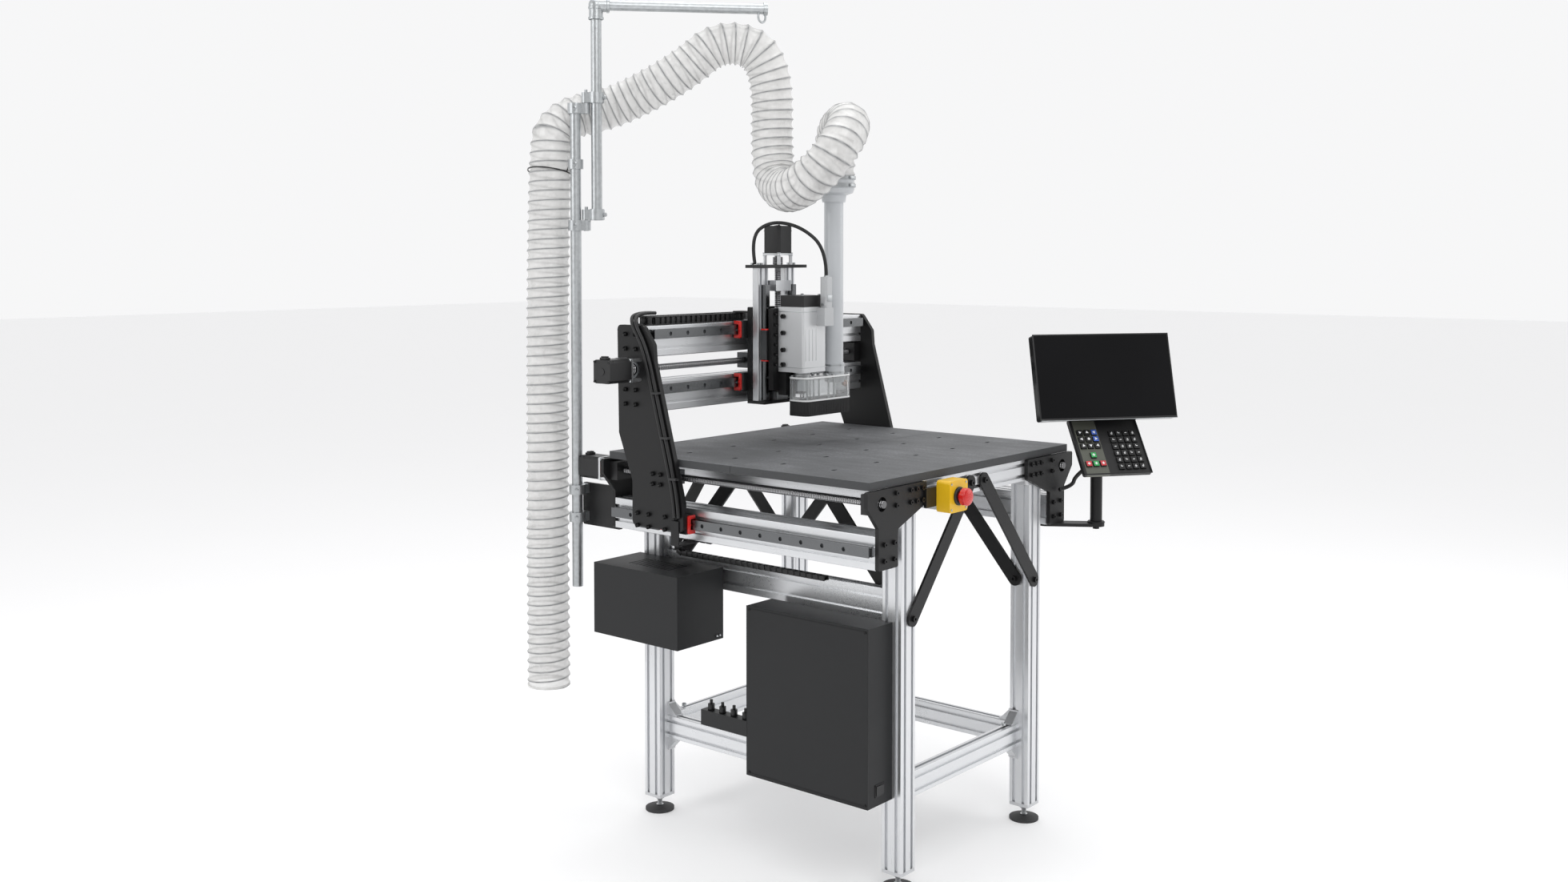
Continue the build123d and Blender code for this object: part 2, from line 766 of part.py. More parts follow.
with BuildPart() as z_screw:
    rod(along_z(carriage_x, z_screw_y, carriage_low - 6), z_motor_low - 2 - carriage_low + 6,
        screw_diameter)
    rod(along_z(carriage_x, z_screw_y, z_motor_low - 4 - coupling_length), coupling_length,
        coupling_diameter, screw_diameter + 2 * fit_gap)
keep(z_screw, "z_screw")

# ---------------------------------------------------------------- z head
with BuildPart() as z_plate:
    rounded(
        Plane(origin=(carriage_x, z_plate_back, (z_plate_low + z_plate_top) / 2),
              x_dir=(1, 0, 0), z_dir=(0, -1, 0)),
        z_plate_wide, z_plate_top - z_plate_low, z_plate_thick, 3,
    )
    block((shoe_left - 4, carriage_x + 45), (shoe_back + fit_gap, z_plate_front - fit_gap),
          (shoe_low + 14, spindle_low - 2))
    rod(along_z(carriage_x, spindle_y, shoe_low), shoe_top, 50, mode=Mode.SUBTRACT)
keep(z_plate, "z_plate")

z_nut_z = z_block_low + z_block_long / 2
with BuildPart() as z_bearings:
    for side in (-1, 1):
        foot = Plane(origin=(carriage_x + side * column_spread / 2, column_front, z_nut_z),
                     x_dir=(0, 0, 1), z_dir=(0, -1, 0))
        bearing_block(foot, z_block_long, z_block_wide,
                      column_front - z_plate_back - bearing_lift - fit_gap, bearing_lift,
                      z_rail_wide, z_rail_tall)
    block((carriage_x - 20, carriage_x + 20), (z_plate_back + fit_gap, z_screw_y + 16),
          (z_nut_z - 18, z_nut_z + 18))
    rod(along_z(carriage_x, z_screw_y, z_nut_z - 19), 38, screw_diameter + 1,
        mode=Mode.SUBTRACT)
keep(z_bearings, "z_bearings")

with BuildPart() as spindle_body:
    with BuildSketch(along_z(carriage_x, spindle_y, spindle_low)) as outline:
        RectangleRounded(spindle_wide, spindle_deep, 5)
        Circle(spindle_bore / 2, mode=Mode.SUBTRACT)
    extrude(outline.sketch, amount=spindle_top - spindle_low)
    rod(along_z(carriage_x, spindle_y, spindle_low), 12, spindle_bore + 2,
        shaft_diameter + 2 * running_gap)
    rod(along_z(carriage_x, spindle_y, spindle_top - 12), 12, spindle_bore + 2,
        shaft_diameter + 2 * running_gap)
    rod(along_z(carriage_x, spindle_y, spindle_low - 14), 14, 44,
        shaft_diameter + 2 * running_gap)
keep(spindle_body, "spindle_body")

with BuildPart() as spindle_winding:
    rod(along_z(carriage_x, spindle_y, spindle_low + 30), spindle_top - spindle_low - 60,
        spindle_bore - 2 * fit_gap, 46)
keep(spindle_winding, "spindle_winding")

with BuildPart() as spindle_fittings:
    rounded(along_z(carriage_x, spindle_y, spindle_top), spindle_wide - 10,
            spindle_deep - 10, 29, 4)
    block((carriage_x + 8, carriage_x + 44), (spindle_front - 26, spindle_front),
          (1238, spindle_top - 2))
    rounded(along_z(carriage_x + 29, spindle_front - 14, spindle_top - 2), 26, 22, 78, 5)
keep(spindle_fittings, "spindle_fittings")

with BuildPart() as spindle_shaft:
    rod(along_z(carriage_x, spindle_y, spindle_low - 34), spindle_top - 2 - spindle_low + 34,
        shaft_diameter)
    rod(along_z(carriage_x, spindle_y, spindle_low + 32), spindle_top - spindle_low - 64, 44)
    with BuildSketch(along_z(carriage_x, spindle_y, spindle_low - 50)) as nut:
        RegularPolygon(15, 6)
    extrude(nut.sketch, amount=24)
    rod(along_z(carriage_x, spindle_y, spindle_low - 51), collet_depth, collet_bore,
        mode=Mode.SUBTRACT)
keep(spindle_shaft, "spindle_shaft")

cuff_radius = hose_diameter / 2 - hose_wall - fit_gap * 5
shoe_middle = ((shoe_left + shoe_right) / 2, (shoe_front + shoe_back) / 2)
with BuildPart() as dust_shoe:
    rounded(along_z(*shoe_middle, shoe_low), shoe_long, shoe_deep, shoe_top - shoe_low, 18)
    rounded(along_z(*shoe_middle, shoe_low), shoe_long - 2 * shoe_wall,
            shoe_deep - 2 * shoe_wall, shoe_top - shoe_low - shoe_wall, 12, Mode.SUBTRACT)
    rod(along_z(carriage_x, spindle_y, shoe_low), shoe_top, 50, mode=Mode.SUBTRACT)
    rod(along_z(duct_x, duct_y, shoe_low), shoe_top, duct_diameter + 2 * fit_gap,
        mode=Mode.SUBTRACT)
keep(dust_shoe, "dust_shoe")

with BuildPart() as brush_skirt:
    rounded(along_z(*shoe_middle, brush_low), shoe_long - 2, shoe_deep - 2,
            shoe_low - brush_low, 17)
    rounded(along_z(*shoe_middle, brush_low), shoe_long - 18, shoe_deep - 18,
            shoe_low - brush_low, 9, Mode.SUBTRACT)
keep(brush_skirt, "brush_skirt")

with BuildPart() as dust_duct:
    rod(along_z(duct_x, duct_y, shoe_top - 20), duct_top - shoe_top + 20, duct_diameter,
        duct_diameter - 2 * duct_wall)
    rod(along_z(duct_x, duct_y, shoe_top), 30, duct_diameter + 6,
        duct_diameter + 2 * fit_gap)
    with BuildSketch(Plane(origin=(duct_x, duct_y, duct_top), x_dir=(1, 0, 0),
                           z_dir=(0, -1, 0))) as half:
        with BuildLine():
            Polyline(
                (duct_diameter / 2 + fit_gap, -22),
                (duct_diameter / 2 + 5, -22),
                (duct_diameter / 2 + 8, -4),
                (cuff_radius - 4, 2),
                (cuff_radius, 12),
                (cuff_radius, 50),
                (cuff_radius - 3, 50),
                (cuff_radius - 3, 14),
                (duct_diameter / 2 + fit_gap, 6),
                close=True,
            )
        make_face()
    revolve(half.sketch, axis=Axis((duct_x, duct_y, 0), (0, 0, 1)))
keep(dust_duct, "dust_duct")

# ---------------------------------------------------------------- hose supports
with BuildPart() as support_pole:
    rod(along_z(pole_x, pole_y, pole_low), pole_top - pole_low, pipe_diameter,
        pipe_diameter - 2 * pipe_wall)
keep(support_pole, "support_pole")

hinge_x = (pole_x + boom_x) / 2
hinge_y = (pole_y + boom_y) / 2
lug_run = math.hypot(hinge_x - pole_x, hinge_y - pole_y)


def pipe_clamp(x, y, z, tall, toward):
    """A cast ring on a vertical pipe with a lug that reaches the hinge pin."""
    side = Plane(origin=(x, y, z), x_dir=toward, z_dir=(0, 0, 1))
    with BuildSketch(side) as shape:
        Circle(pipe_diameter / 2 + 6)
        with Locations((lug_run / 2, 0)):
            Rectangle(lug_run, 22)
        with Locations((lug_run, 0)):
            Circle(11)
        Circle(pipe_diameter / 2 + fit_gap, mode=Mode.SUBTRACT)
        with Locations((lug_run, 0)):
            Circle(4.5, mode=Mode.SUBTRACT)
    extrude(shape.sketch, amount=tall)


toward_boom = Vector(boom_x - pole_x, boom_y - pole_y, 0).normalized()
clamp_tall = 26
bracket_plane = Plane(origin=(pole_x + 30, leg_span_y / 2 + corner_plate, 0),
                      x_dir=(0, 1, 0), z_dir=(1, 0, 0))
with BuildPart() as pole_clamps:
    for z in (boom_low - 36, pole_top - 12):
        pipe_clamp(pole_x, pole_y, z, clamp_tall, toward_boom)
        rod(along_z(hinge_x, hinge_y, z + clamp_tall - 8), 8 + clamp_tall + 8, 8.4)
    rod(along_z(pole_x, pole_y, 1634), 24, pipe_diameter + 12, pipe_diameter + 2 * fit_gap)
    plate(bracket_plane, [(0, beam_low - 12), (138, beam_low - 12), (138, bed_low - 26),
                          (0, bed_low - 26)], 8, 6)
    for z in (beam_low, beam_low + 70):
        rod(along_z(pole_x, pole_y, z), 24, pipe_diameter + 14, pipe_diameter + 2 * fit_gap)
        block((pole_x + 19, pole_x + 30 - fit_gap), (pole_y - 14, pole_y + 11), (z, z + 24))
keep(pole_clamps, "pole_clamps")

arm_way = Vector(math.cos(math.radians(boom_turn)), math.sin(math.radians(boom_turn)), 0)
hook_x = boom_x + boom_reach * arm_way.X
hook_y = boom_y + boom_reach * arm_way.Y
with BuildPart() as boom:
    rod(along_z(boom_x, boom_y, boom_low), boom_top - boom_low - 20, pipe_diameter,
        pipe_diameter - 2 * pipe_wall)
    with Locations((boom_x, boom_y, boom_top)):
        Sphere(pipe_diameter / 2 + 5)
    rod(along_z(boom_x, boom_y, boom_top - 34), 34, pipe_diameter + 8)
    elbow_end = Plane(origin=(boom_x, boom_y, boom_top), x_dir=(0, 0, 1), z_dir=arm_way)
    rod(elbow_end, 34, pipe_diameter + 8)
    rod(elbow_end.offset(34), boom_reach - 34, pipe_diameter)
    rod(elbow_end.offset(boom_reach - 2), 10, pipe_diameter + 6)
    for z in (boom_low - 36 + clamp_tall + 1, pole_top - 12 + clamp_tall + 1):
        pipe_clamp(boom_x, boom_y, z, clamp_tall, toward_boom * -1)
    with Locations(Location((hook_x - 6 * arm_way.X, hook_y - 6 * arm_way.Y, boom_top - 20),
                            (90, 0, boom_turn))):
        Torus(14, 3)
keep(boom, "boom")

# ---------------------------------------------------------------- enclosures
control_y = (control_front, control_front + control_long)
control_xs = (control_x - control_deep, control_x)
drive_xs = (control_x - drive_deep, control_x)
drive_y = (drive_front, drive_front + drive_long)
with BuildPart() as enclosure_shells:
    block(control_xs, control_y, (control_low, control_top))
    hollow((control_xs[0] - 1, control_xs[1] - sheet),
           (control_y[0] + sheet, control_y[1] - sheet),
           (control_low + sheet, control_top - sheet))
    block(drive_xs, drive_y, (drive_low, drive_top))
    hollow((drive_xs[0] + sheet, drive_xs[1] - sheet),
           (drive_y[0] + sheet, drive_y[1] - sheet),
           (drive_low + sheet, drive_top + 1))
    hollow((control_x - 62, control_x - 34), (control_y[0] - 1, control_y[0] + sheet + 1),
           (control_low + 23, control_low + 45))
keep(enclosure_shells, "enclosure_shells")

with BuildPart() as enclosure_covers:
    block((control_xs[0], control_xs[0] + sheet),
          (control_y[0] + sheet + fit_gap, control_y[1] - sheet - fit_gap),
          (control_low + sheet + fit_gap, control_top - sheet - fit_gap))
    block((drive_xs[0] + sheet + fit_gap, drive_xs[1] - sheet - fit_gap),
          (drive_y[0] + sheet + fit_gap, drive_y[1] - sheet - fit_gap),
          (drive_top - sheet, drive_top))
    with BuildSketch(Plane.XY.offset(drive_top)) as vents:
        with Locations(((drive_xs[0] + drive_xs[1]) / 2, (drive_y[0] + drive_y[1]) / 2)):
            with GridLocations(1, 12, 1, 12):
                SlotOverall(70, 4)
    extrude(vents.sketch, amount=-2 * sheet, mode=Mode.SUBTRACT)
keep(enclosure_covers, "enclosure_covers")

with BuildPart() as electronics:
    back = control_x - sheet - fit_gap
    block((back - 55, back), (-360, -245), (control_low + 60, control_low + 275))
    block((back - 30, back), (-225, -95), (control_low + 60, control_low + 200))
    for step in range(4):
        low = -230 + step * 34
        block((back - 75, back), (low, low + 26), (control_low + 215, control_low + 330))
    block((drive_xs[0] + 20, drive_xs[1] - sheet - fit_gap), (drive_y[0] + 40, drive_y[0] + 190),
          (drive_low + sheet, drive_low + 140))
    strip_top = stretcher_low + stretcher_tall + 38
    block((-inner_x - stretcher_wide, -inner_x), (70, 230), (strip_top - 38, strip_top))
    with BuildSketch(Plane.XY.offset(strip_top)) as outlets:
        with Locations((-inner_x - stretcher_wide / 2, 150)):
            with GridLocations(1, 38, 1, 4):
                Circle(9)
    extrude(outlets.sketch, amount=-9, mode=Mode.SUBTRACT)
keep(electronics, "electronics")

with BuildPart() as rocker_switch:
    block((control_x - 61.5, control_x - 34.5), (control_y[0] - 3, control_y[0] + 14),
          (control_low + 23.5, control_low + 44.5))
keep(rocker_switch, "rocker_switch")

# ---------------------------------------------------------------- emergency stop
stop_x = -154
stop_z = 878
stop_front = -455
stop_size = 72
stop_travel = 4
stop_stem = 16           # how far the button's stem stands in the box at rest
with BuildPart() as stop_box:
    front = Plane(origin=(stop_x, stop_front, stop_z), x_dir=(1, 0, 0), z_dir=(0, -1, 0))
    rounded(front, stop_size, stop_size, -36, 8)
    rod(front, -(stop_stem + stop_travel + 1), 24, mode=Mode.SUBTRACT)
    block((-229, stop_x + 20), (stop_front + 36 + fit_gap, front_y - corner_plate - fit_gap),
          (stop_z - 22, stop_z + 22))
keep(stop_box, "emergency_stop_box")

with BuildPart() as stop_button:
    rod(front.offset(-stop_stem), stop_stem + 14, 22)
    with BuildSketch(front.offset(13)) as head:
        Circle(20)
    extrude(head.sketch, amount=14)
    fillet(stop_button.edges().group_by(Axis.Y)[0], 4)
keep(stop_button, "emergency_stop_button")

# ---------------------------------------------------------------- operator's station
turn = math.radians(station_turn)
across = Vector(math.cos(turn), math.sin(turn), 0)
forward = Vector(math.sin(turn), -math.cos(turn), 0)
upward = Vector(0, 0, 1)
arm_thick = 8
with BuildPart() as station_arm:
    arm_root = Vector(beam_mid, front_y + 20, 0)
    arm_tip = Vector(post_x, post_y, 0)
    heading = math.degrees(math.atan2(arm_tip.Y - arm_root.Y, arm_tip.X - arm_root.X))
    with BuildSketch(Plane.XY.offset(beam_low - arm_thick)) as bar:
        with Locations(Location(((arm_root.X + arm_tip.X) / 2, (arm_root.Y + arm_tip.Y) / 2, 0),
                                (0, 0, heading))):
            SlotCenterToCenter((arm_tip - arm_root).length, 42)
    extrude(bar.sketch, amount=arm_thick)
    rod(along_z(post_x, post_y, beam_low), 150, post_diameter, post_diameter - 5)
keep(station_arm, "station_arm")


def tilted(place_forward, z, tilt):
    """Plane in front of the post that faces the operator, tilted back by an angle."""
    lean = math.radians(tilt)
    normal = forward * math.cos(lean) + upward * math.sin(lean)
    centre = Vector(post_x, post_y, z) + forward * place_forward
    return Plane(origin=centre, x_dir=across, z_dir=normal)


screen_plane = tilted(44, screen_z, screen_tilt)
tray_plane = tilted(73, tray_z, tray_tilt)
with BuildPart() as screen:
    rounded(screen_plane, screen_wide, screen_tall, -screen_thick, 5)
keep(screen, "screen")


def key_places(group):
    """Centres of one group of keys on the tray, as Locations objects."""
    if group == "control":
        grid = [(-52 + key_pitch * i, 20 + key_pitch * j) for i in (-1, 0, 1) for j in (-1, 0, 1)]
        return grid + [(-52, -26)] + [(-52 + key_pitch * i, -50) for i in (-1, 0, 1)]
    return [(42 + key_pitch * (i - 1.5), -13 + key_pitch * (j - 2.5))
            for i in range(4) for j in range(6)]


with BuildPart() as keypad_tray:
    rounded(tray_plane, tray_wide, tray_long, -tray_thick, 4)
    with BuildSketch(tray_plane) as pockets:
        with Locations(*key_places("control"), *key_places("number")):
            Rectangle(key_size + 1, key_size + 1)
    extrude(pockets.sketch, amount=-key_travel - 1.5, mode=Mode.SUBTRACT)
    rod(along_z(post_x, post_y, beam_low + 151), 14, post_diameter)
    rod(along_z(post_x, post_y, beam_low + 165), screen_z - 20 - beam_low - 165,
        post_diameter, post_diameter - 5)
    rod(along_z(post_x, post_y, beam_low + 130), 21, post_diameter - 6)
    hanger = Plane(origin=(post_x, post_y, 0), x_dir=forward, z_dir=across * -1)
    screen_lean = math.tan(math.radians(screen_tilt))
    screen_back = 44 - (screen_thick + 0.3) / math.cos(math.radians(screen_tilt))
    tray_lean = math.tan(math.radians(tray_tilt))
    tray_back = 73 - (tray_thick - 2) / math.cos(math.radians(tray_tilt))
    with BuildSketch(hanger) as web:
        with BuildLine():
            Polyline(
                (post_diameter / 2 - 1, screen_z - 85),
                (screen_back + 85 * screen_lean, screen_z - 85),
                (screen_back + 25 * screen_lean, screen_z - 25),
                (post_diameter / 2 - 1, screen_z - 25),
                close=True,
            )
        make_face()
        with BuildLine():
            Polyline(
                (post_diameter / 2 - 1, tray_z + 38),
                (tray_back - 38 * tray_lean, tray_z + 38),
                (tray_back + 20 * tray_lean, tray_z - 20),
                (tray_back - 20, tray_z - 24),
                (post_diameter / 2 - 1, tray_z - 10),
                close=True,
            )
        make_face()
    extrude(web.sketch, amount=5, both=True)
    neck = Plane(origin=Vector(post_x, post_y, tray_z + 76) + forward * 20, x_dir=across,
                 z_dir=forward)
    rounded(neck, tray_wide - 40, 40, 4, 3)
keep(keypad_tray, "keypad_tray")

with BuildPart() as control_keys:
    with BuildSketch(tray_plane.offset(-1)) as grid:
        with Locations(*key_places("control")):
            RectangleRounded(key_size, key_size, 2)
    extrude(grid.sketch, amount=1 + key_tall)
keep(control_keys, "control_keys")

with BuildPart() as number_keys:
    with BuildSketch(tray_plane.offset(-1)) as grid:
        with Locations(*key_places("number")):
            RectangleRounded(key_size, key_size, 2)
    extrude(grid.sketch, amount=1 + key_tall)
keep(number_keys, "number_keys")

# ---------------------------------------------------------------- cables held by the machine
with BuildPart() as cross_carrier:
    back_run = front_run + 46
    bend_x = -plate_in + 50
    block((bend_x, carriage_x - 45), (front_run, front_run + 14), (chain_low, chain_top))
    block((bend_x, carriage_x + 40), (back_run, back_run + 14), (chain_low, chain_top))
    with BuildSketch(along_z(bend_x, front_run + 30, chain_low)) as bend:
        Circle(30)
        Circle(16, mode=Mode.SUBTRACT)
        with Locations((31, 0)):
            Rectangle(62, 62, mode=Mode.SUBTRACT)
    extrude(bend.sketch, amount=chain_wide)
keep(cross_carrier, "cross_cable_carrier")

with BuildPart() as long_carrier:
    chain_x = (-beam_in + 2, -leg_span_x / 2 - 3)
    low_run = rear_tie_low + rear_tie_tall + 4
    block(chain_x, (-200, 250), (low_run, low_run + 12))
    block(chain_x, (150, 250), (low_run + 40, low_run + 52))
    with BuildSketch(Plane(origin=(chain_x[0], 250, low_run + 26), x_dir=(0, 1, 0),
                           z_dir=(1, 0, 0))) as bend:
        Circle(26)
        Circle(14, mode=Mode.SUBTRACT)
        with Locations((-27, 0)):
            Rectangle(54, 54, mode=Mode.SUBTRACT)
    extrude(bend.sketch, amount=chain_x[1] - chain_x[0])
keep(long_carrier, "long_cable_carrier")

cable_diameter = 9
with BuildPart() as gantry_cables:
    for shift in (0, 13):
        x = -plate_in - plate_thick - cable_diameter / 2 - 1
        run = [
            (-plate_in + 80, 322 - shift, chain_top + 6),
            (-plate_in + 3, 306 - shift, chain_top + 9),
            (x - 3, 292 - shift, gantry_top + 6),
            (x, 258 - shift, gantry_top - 45),
            (x, 236 - shift, gantry_top - 110),
            (x, 208 - shift, gantry_top - 210),
            (x, 176 - shift, gantry_top - 320),
            (x, 152 - shift, gantry_top - 410),
            (x, 150 - shift, gantry_low + 34),
        ]
        tube(run, bend_radii(run), cable_diameter)
keep(gantry_cables, "gantry_cables")

with BuildPart() as station_cable:
    run = [
        (post_x - 16, post_y + 14, beam_low + 145),
        (post_x - 40, post_y + 40, beam_low + 118),
        (beam_out + 6, front_y - corner_plate - 22, beam_low + 92),
        (beam_mid, front_y - corner_plate - 8, beam_low + 86),
    ]
    tube(run, bend_radii(run), 10)
keep(station_cable, "station_cable")

plug_x = carriage_x + 29
plug_y = spindle_front - 14
plug_z = spindle_top + 76
with BuildPart() as spindle_cable:
    run = [
        (plug_x, plug_y, plug_z + 2 * fit_gap),
        (plug_x, plug_y, plug_z + 70),
        (plug_x - 36, plug_y + 53, plug_z + 128),
        (plug_x - 86, plug_y + 113, plug_z + 142),
        (plug_x - 120, plug_y + 151, plug_z + 102),
        (plug_x - 104, plug_y + 149, column_top + 10),
    ]
    tube(run, bend_radii(run), 9)
keep(spindle_cable, "spindle_cable")

# ---------------------------------------------------------------- dust hose
def cut_corner(before, corner, after):
    """Swap one sharp corner of the hose for two gentle ones."""
    back = (Vector(*before) - Vector(*corner)).normalized() * hose_corner_cut
    on = (Vector(*after) - Vector(*corner)).normalized() * hose_corner_cut
    return [tuple(Vector(*corner) + back), tuple(Vector(*corner) + on)]


arch_z = 1745
loop_z = 1580
crest = (-15, 212, 1929)
loop_corners = [
    crest,
    (-18, 215, loop_z),
    (-118, 10, loop_z),
    (-40, -78, arch_z),
    (duct_x, duct_y, arch_z),
    (duct_x, duct_y, duct_top + 14),
]
hose_route = [
    (-425, 623, 309),
    (-423, 628, 1680),
    (-374, 616, 1768),
    (-262, 552, 1794),
    (-172, 391, 1883),
    (-102, 308, 1975),
    crest,
]
for before, corner, after in zip(loop_corners, loop_corners[1:], loop_corners[2:]):
    hose_route += cut_corner(before, corner, after)
hose_route.append(loop_corners[-1])
hose_cuts = [
    ("riser", 0, 2),
    ("span", 2, 5),
    ("crest", 5, 6),
    ("drop", 6, 8),
    ("loop", 8, 12),
    ("inlet", 12, 14),
]
all_radii = bend_radii(hose_route)
hose_cord_length = 0.0
for number, (word, first, last) in enumerate(hose_cuts):
    inner_points = hose_route[first + 1:last + 1]
    start = hose_route[0]
    finish = hose_route[-1]
    if first:
        start = tuple((a + b) / 2 for a, b in zip(hose_route[first], hose_route[first + 1]))
    if last < len(hose_route) - 2:
        finish = tuple((a + b) / 2 for a, b in zip(hose_route[last], hose_route[last + 1]))
    with BuildPart() as hose_piece:
        hose_cord_length += tube([start, *inner_points, finish], all_radii[first:last],
                                 hose_diameter, hose_wall)
    keep(hose_piece, f"hose_{word}")
print("hose radii", [round(radius) for radius in all_radii], "length", round(hose_cord_length))

# ---------------------------------------------------------------- origin and export
hose_labels = [f"hose_{word}" for word, first, last in hose_cuts]
solid_boxes = [piece.part.bounding_box() for piece in pieces
               if piece.part.label not in hose_labels]
middle_x = (min(box.min.X for box in solid_boxes) + max(box.max.X for box in solid_boxes)) / 2
middle_y = (min(box.min.Y for box in solid_boxes) + max(box.max.Y for box in solid_boxes)) / 2
print("origin shift", round(-middle_x, 3), round(-middle_y, 3))
for piece in pieces:
    piece.part.move(Location((-middle_x, -middle_y, 0)))
    export_step(piece.part, f"parts/{piece.part.label}.step")
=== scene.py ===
import math

import bmesh
import bpy
from bpy.props import FloatProperty, FloatVectorProperty, IntProperty, PointerProperty
from mathutils import Matrix, Vector


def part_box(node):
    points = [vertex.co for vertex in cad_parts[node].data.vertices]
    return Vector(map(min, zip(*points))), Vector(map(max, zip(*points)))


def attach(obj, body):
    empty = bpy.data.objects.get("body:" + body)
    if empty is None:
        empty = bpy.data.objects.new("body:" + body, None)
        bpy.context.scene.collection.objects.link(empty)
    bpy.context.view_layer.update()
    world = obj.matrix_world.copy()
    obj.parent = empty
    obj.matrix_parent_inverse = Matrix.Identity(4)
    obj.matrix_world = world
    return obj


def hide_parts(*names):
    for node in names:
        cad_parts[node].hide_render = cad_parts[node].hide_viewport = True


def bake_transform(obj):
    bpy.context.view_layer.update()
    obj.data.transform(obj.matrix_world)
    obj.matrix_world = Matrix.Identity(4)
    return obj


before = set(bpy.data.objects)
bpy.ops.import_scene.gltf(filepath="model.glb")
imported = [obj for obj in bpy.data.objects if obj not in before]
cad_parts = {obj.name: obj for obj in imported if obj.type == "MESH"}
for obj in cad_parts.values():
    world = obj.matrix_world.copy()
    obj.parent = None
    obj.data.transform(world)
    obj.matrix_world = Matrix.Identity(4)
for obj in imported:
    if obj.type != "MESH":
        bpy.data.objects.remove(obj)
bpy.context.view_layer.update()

bl_info = {
    "name": "Router Table Finish",
    "version": (1, 0, 0),
    "blender": (4, 5, 0),
    "location": "3D View > Sidebar > Router",
    "description": "Finishes, fittings, hose and cables for a three-axis router table",
    "category": "Object",
}

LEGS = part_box("legs")
MACHINE = Vector(((LEGS[0].x + LEGS[1].x) / 2, (LEGS[0].y + LEGS[1].y) / 2, 0.0))
TO_ROW = Matrix.Translation(MACHINE) @ Matrix.Scale(0.001, 4)

UP = Vector((0, 0, 1))
SIDES = ((-1, "left"), (1, "right"))

# places in the machine's own frame, in millimetres, as the frame was drawn
PLATE_OUT = 440                          # outer faces of the gantry's side plates
BEAM_OUT = 397                           # outer faces of the two rail beams
RAIL_Z = 781.5                           # middle of the long rails
LONG_BLOCKS = (166.5, 258.5)             # middles of the bearing blocks on each long rail
BLOCK_BOLT = 18.5                        # their bolts, either side of the middle
BLOCK_HALF = 38.5                        # half a bearing block's length, to its end face
LONG_SCREW_X, LONG_SCREW_Z = 385, 884    # the long screws, either side of the middle
CROSS_RAILS = (1093, 1227)               # heights of the two cross rails
CROSS_SCREW = (292, 1142.5)              # the cross screw's depth and height
CARRIAGE_X = -17                         # middle of the carriage
Z_SCREW_Y = 193.5
SPINDLE_Y = 113.5
PLUG = Vector((12, 57, 0))               # the spindle's connector
DUCT = Vector((96, 99, 0))
BOX_FITTINGS_X = -345                    # connectors behind the control box
STOP_FRONT = (-154, -455, 878)           # middle of the emergency stop's front face

# the pipework and the point where the hose is tied to it
POLE = Vector((-400, 538, 0))
HINGE = Vector((-383, 517.5, 0))
BOOM = Vector((-366, 497, 0))
BOOM_HEADING = math.radians(-41.3)
TIE = (-424, 626, 1627)

# the operator's station, which is turned toward the front left corner
POST = Vector((430, -484.5, 0))
STATION_TURN = math.radians(-36)
ACROSS = Vector((math.cos(STATION_TURN), math.sin(STATION_TURN), 0))
FORWARD = Vector((math.sin(STATION_TURN), -math.cos(STATION_TURN), 0))
SCREEN, SCREEN_LEAN = Vector((404.137, -520.097, 1115)), math.radians(15)
TRAY, TRAY_LEAN = Vector((387.092, -543.558, 944)), math.radians(38.6)
KEY_PITCH = 19

# the viewer's place in millimetres and the angles and lens that go with it
VIEWER = (-2984, -2317, 1430)
VIEW_DOWN, VIEW_TURN = math.radians(2.3), math.radians(-50)
FOCAL_LENGTH, LENS_SHIFT = 34.585, -0.0832

# routes in the machine's own frame, in metres
HOSE_ROUTE = [
    (-0.425, 0.623, 0.309), (-0.423, 0.628, 1.68), (-0.374, 0.616, 1.768), (-0.262, 0.552, 1.794),
    (-0.172, 0.391, 1.883), (-0.102, 0.308, 1.975), (-0.015, 0.212, 1.929), (-0.0175, 0.2145, 1.642),
    (-0.0452, 0.1593, 1.58), (-0.0908, 0.0657, 1.58), (-0.0941, -0.0169, 1.6305),
    (-0.0639, -0.0511, 1.6945), (-0.0022, -0.0288, 1.745), (0.0582, 0.0498, 1.745),
    (0.096, 0.099, 1.683), (0.096, 0.099, 1.589),
]
# each section's name, the run in whose middle it starts, and the bodies at its ends
HOSE_PARTS = [
    ("riser", 0, ("frame",)),
    ("span", 2, ("frame", "boom")),
    ("crest", 5, ("boom", "frame")),
    ("drop", 6, ("frame", "gantry")),
    ("loop", 8, ("gantry", "carriage")),
    ("inlet", 12, ("carriage", "z_head")),
]
GANTRY_CABLE = [
    (-0.348, 0.322, 1.275), (-0.425, 0.306, 1.278), (-0.4485, 0.292, 1.255), (-0.4455, 0.258, 1.204),
    (-0.4455, 0.236, 1.139), (-0.4455, 0.208, 1.039), (-0.4455, 0.176, 0.929), (-0.4455, 0.152, 0.839),
    (-0.4455, 0.15, 0.799),
]
GANTRY_CABLE_GAP = 0.013
STATION_CABLE = [
    (0.414, -0.4705, 0.885), (0.39, -0.4445, 0.858), (0.403, -0.4335, 0.832),
    (0.3595, -0.4195, 0.826),
]
STATION_CABLE_DIAMETER = 0.010
SPINDLE_CABLE = [
    (0.012, 0.057, 1.3622), (0.012, 0.057, 1.432), (-0.024, 0.11, 1.49), (-0.074, 0.17, 1.504),
    (-0.108, 0.208, 1.464), (-0.092, 0.206, 1.394),
]


# ---------------------------------------------------------------- settings
def colour(name, words, value):
    return FloatVectorProperty(name=name, description=words, subtype="COLOR", size=3,
                               min=0, max=1, default=value)


